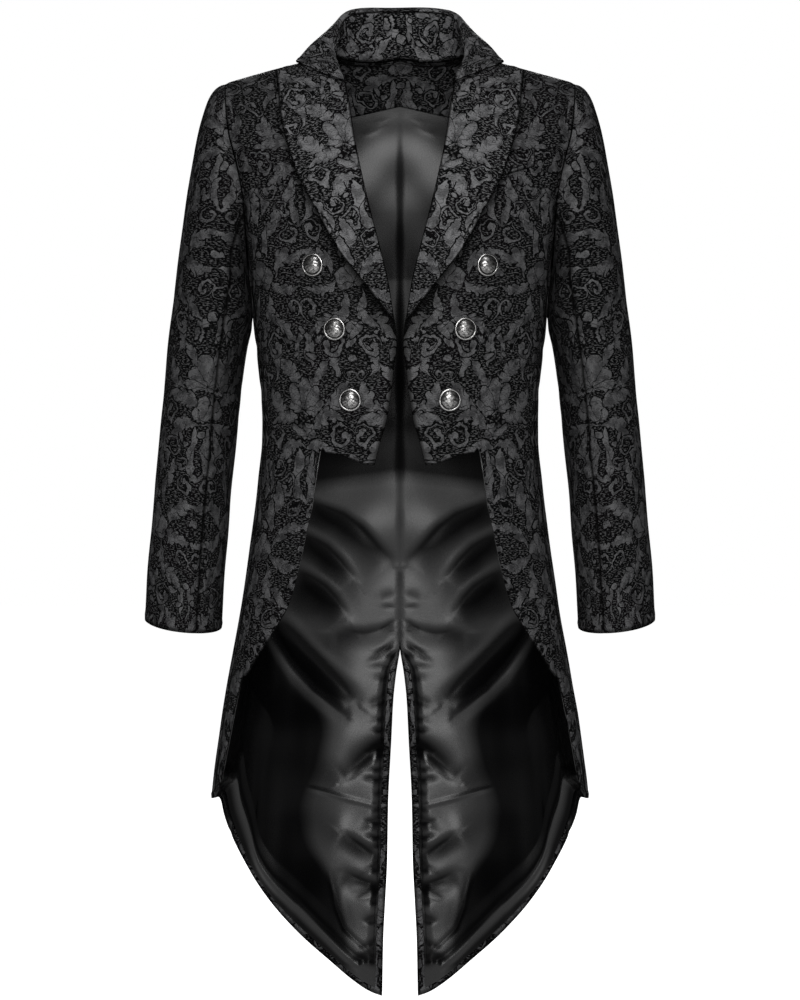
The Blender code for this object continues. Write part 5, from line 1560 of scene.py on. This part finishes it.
def make_button(name, x, z, metal, mirrored):
    """Domed metal button: a plain rounded rim, and a band of soft uneven bumps on the dome."""
    turned = bmesh.new()
    raised = turned.verts.layers.float.new("raised")
    rings = []
    for radius, height in BUTTON_PROFILE:
        ring = []
        for i in range(BUTTON_SIDES):
            angle = 2 * math.pi * i / BUTTON_SIDES
            rise = 0.0
            if radius < 0.0100 and height > 0.005:
                band = math.exp(-((radius - 0.0062) / 0.0026) ** 2)
                spot = np.array([abs(radius * math.cos(angle)), radius * math.sin(angle)])
                rise = 0.00042 * max(band, 0.5) * float(uneven(spot, 0.0042, 61))
            vert = turned.verts.new((radius * math.cos(angle), radius * math.sin(angle), height + rise))
            on_rim = height > 0.0040 and radius > 0.0112
            vert[raised] = 0.85 if on_rim else max(0.0, 0.52 + rise / 0.0009 - 0.5 * (radius > 0.0100))
            ring.append(vert)
        rings.append(ring)
    for lower, upper in zip(rings, rings[1:]):
        for i in range(BUTTON_SIDES):
            following = (i + 1) % BUTTON_SIDES
            turned.faces.new((lower[i], lower[following], upper[following], upper[i]))
    turned.faces.new(list(reversed(rings[0])))
    top = turned.faces.new(rings[-1])
    crown = bmesh.ops.poke(turned, faces=[top])["verts"][0]
    crown.co.z = BUTTON_HEIGHT
    point, normal = on_front(x, z, SEAM)
    if mirrored:
        point, normal = point * [-1, 1, 1], normal * [-1, 1, 1]
    place = Matrix.Translation(Vector(point)) @ Vector(normal).to_track_quat("Z", "Y").to_matrix().to_4x4()
    bmesh.ops.transform(turned, matrix=place, verts=list(turned.verts))
    bmesh.ops.recalc_face_normals(turned, faces=list(turned.faces))
    mesh = bpy.data.meshes.new(name)
    turned.to_mesh(mesh)
    turned.free()
    mesh.shade_smooth()
    mesh.materials.append(metal)
    return placed(name, mesh)


# ---- camera, light and floor -----------------------------------------------------------------------
LENS = 96.08              # millimetres, for a picture 36 mm high
CAMERA_PLACE = (0.0, -3.2, -0.382)
CAMERA_FALL = 2.58        # degrees that the camera looks down
FLOOR_LEVEL = -1.42
FLOOR_HALF = 9.0          # half of the floor's side
SEEN_WHITE = 0.97         # light of the background where the camera sees it
UNSEEN_WHITE = 0.03       # and what it throws on the coat
# softboxes: place, what each is aimed at, size and power
SOFTBOXES = (
    ("softbox_key", (0.0, -3.3, 0.75), (0, 0, -0.45), 1.5, 105.0),
    ("softbox_low", (0.0, -3.3, -1.2), (0, 0, -0.75), 0.8, 16.0),
    ("softbox_top", (0.0, -1.2, 2.2), (0, 0, -0.20), 1.0, 26.0),
    ("softbox_back", (0.0, 3.2, 0.6), (0, 0, -0.45), 1.5, 45.0),
)


def make_stage():
    scene = bpy.context.scene
    camera = placed("camera", bpy.data.cameras.new("camera"))
    camera.data.sensor_fit = "VERTICAL"
    camera.data.sensor_height = 36.0
    camera.data.lens = LENS
    camera.location = CAMERA_PLACE
    camera.rotation_euler = (math.pi / 2 - math.radians(CAMERA_FALL), 0.0, 0.0)
    scene.camera = camera
    white, graph, shader = new_material("studio_white")
    shader.inputs["Base Color"].default_value = (0.93, 0.93, 0.93, 1.0)
    shader.inputs["Roughness"].default_value = 0.9
    shader.inputs["Emission Color"].default_value = (1.0, 1.0, 1.0, 1.0)
    seen = white.node_tree.nodes.new("ShaderNodeLightPath").outputs["Is Camera Ray"]
    graph.put(shader, {"Emission Strength": graph.math("MULTIPLY_ADD", seen, 0.95, UNSEEN_WHITE)})
    flat = bmesh.new()
    level = Matrix.Translation((0.0, 0.0, FLOOR_LEVEL))
    bmesh.ops.create_grid(flat, x_segments=1, y_segments=1, size=FLOOR_HALF, matrix=level)
    mesh = bpy.data.meshes.new("studio_floor")
    flat.to_mesh(mesh)
    flat.free()
    mesh.materials.append(white)
    floor = placed("studio_floor", mesh)
    for name, place, aim, size, power in SOFTBOXES:
        light = bpy.data.lights.new(name, "AREA")
        light.size = size
        light.energy = power
        lamp = placed(name, light)
        lamp.visible_camera = False
        lamp.location = place
        lamp.rotation_euler = (Vector(aim) - Vector(place)).to_track_quat("-Z", "Y").to_euler()
    world = bpy.data.worlds.new("studio")
    scene.world = world
    world.use_nodes = True
    background = world.node_tree.nodes["Background"]
    background.inputs["Color"].default_value = (1.0, 1.0, 1.0, 1.0)
    seen = world.node_tree.nodes.new("ShaderNodeLightPath").outputs["Is Camera Ray"]
    graph = Graph(world.node_tree)
    strength = graph.math("MULTIPLY_ADD", seen, SEEN_WHITE, UNSEEN_WHITE)
    graph.put(background, {"Strength": strength})
    scene.view_settings.view_transform = "Standard"


def declare(piece, kind, side=""):
    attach(piece, "root")
    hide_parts(kind + side)


def dress():
    figure = figure_group()
    jacquard = figured_cloth("black_jacquard_cloth", figure)
    # painted light and shade: the sleeves get a darker copy of the jacquard, the lapels and collar a lighter
    # one
    shaded_sleeve_cloth = figured_cloth("black_jacquard_sleeve_shaded", figure, 0.85)
    lit_lapel_cloth = figured_cloth("black_jacquard_lapel_lit", figure, 1.45)
    lining = satin_cloth("black_satin_cloth")
    metal = silver("antique_silver_metal")
    for side, mirrored in (("_left", False), ("_right", True)):
        cut = make_body(side[1:], mirrored, jacquard, lining)
        declare(cut["front"], "front", side)
        declare(cut["side"], "side", side)
        declare(cut["back"], "back", side)
        declare(cut["lining"], "lining", side)
        declare(make_lapel(side[1:], mirrored, lit_lapel_cloth), "lapel", side)
        under, top = make_sleeve(side[1:], mirrored, shaded_sleeve_cloth, lining)
        declare(under, "under_sleeve", side)
        declare(top, "top_sleeve", side)
        for number, (x, z) in enumerate(BUTTON_PLACES, start=1):
            node = f"button{side}_{number}"
            button = make_button("metal_" + node, x, z, metal, mirrored)
            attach(button, "root")
            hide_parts(node)
    stand, leaf = make_collar(lit_lapel_cloth)
    declare(stand, "collar_stand")
    declare(leaf, "collar_leaf")
    declare(make_facing(jacquard), "neck_facing")
    declare(make_welt(jacquard), "breast_welt")


make_stage()
dress()
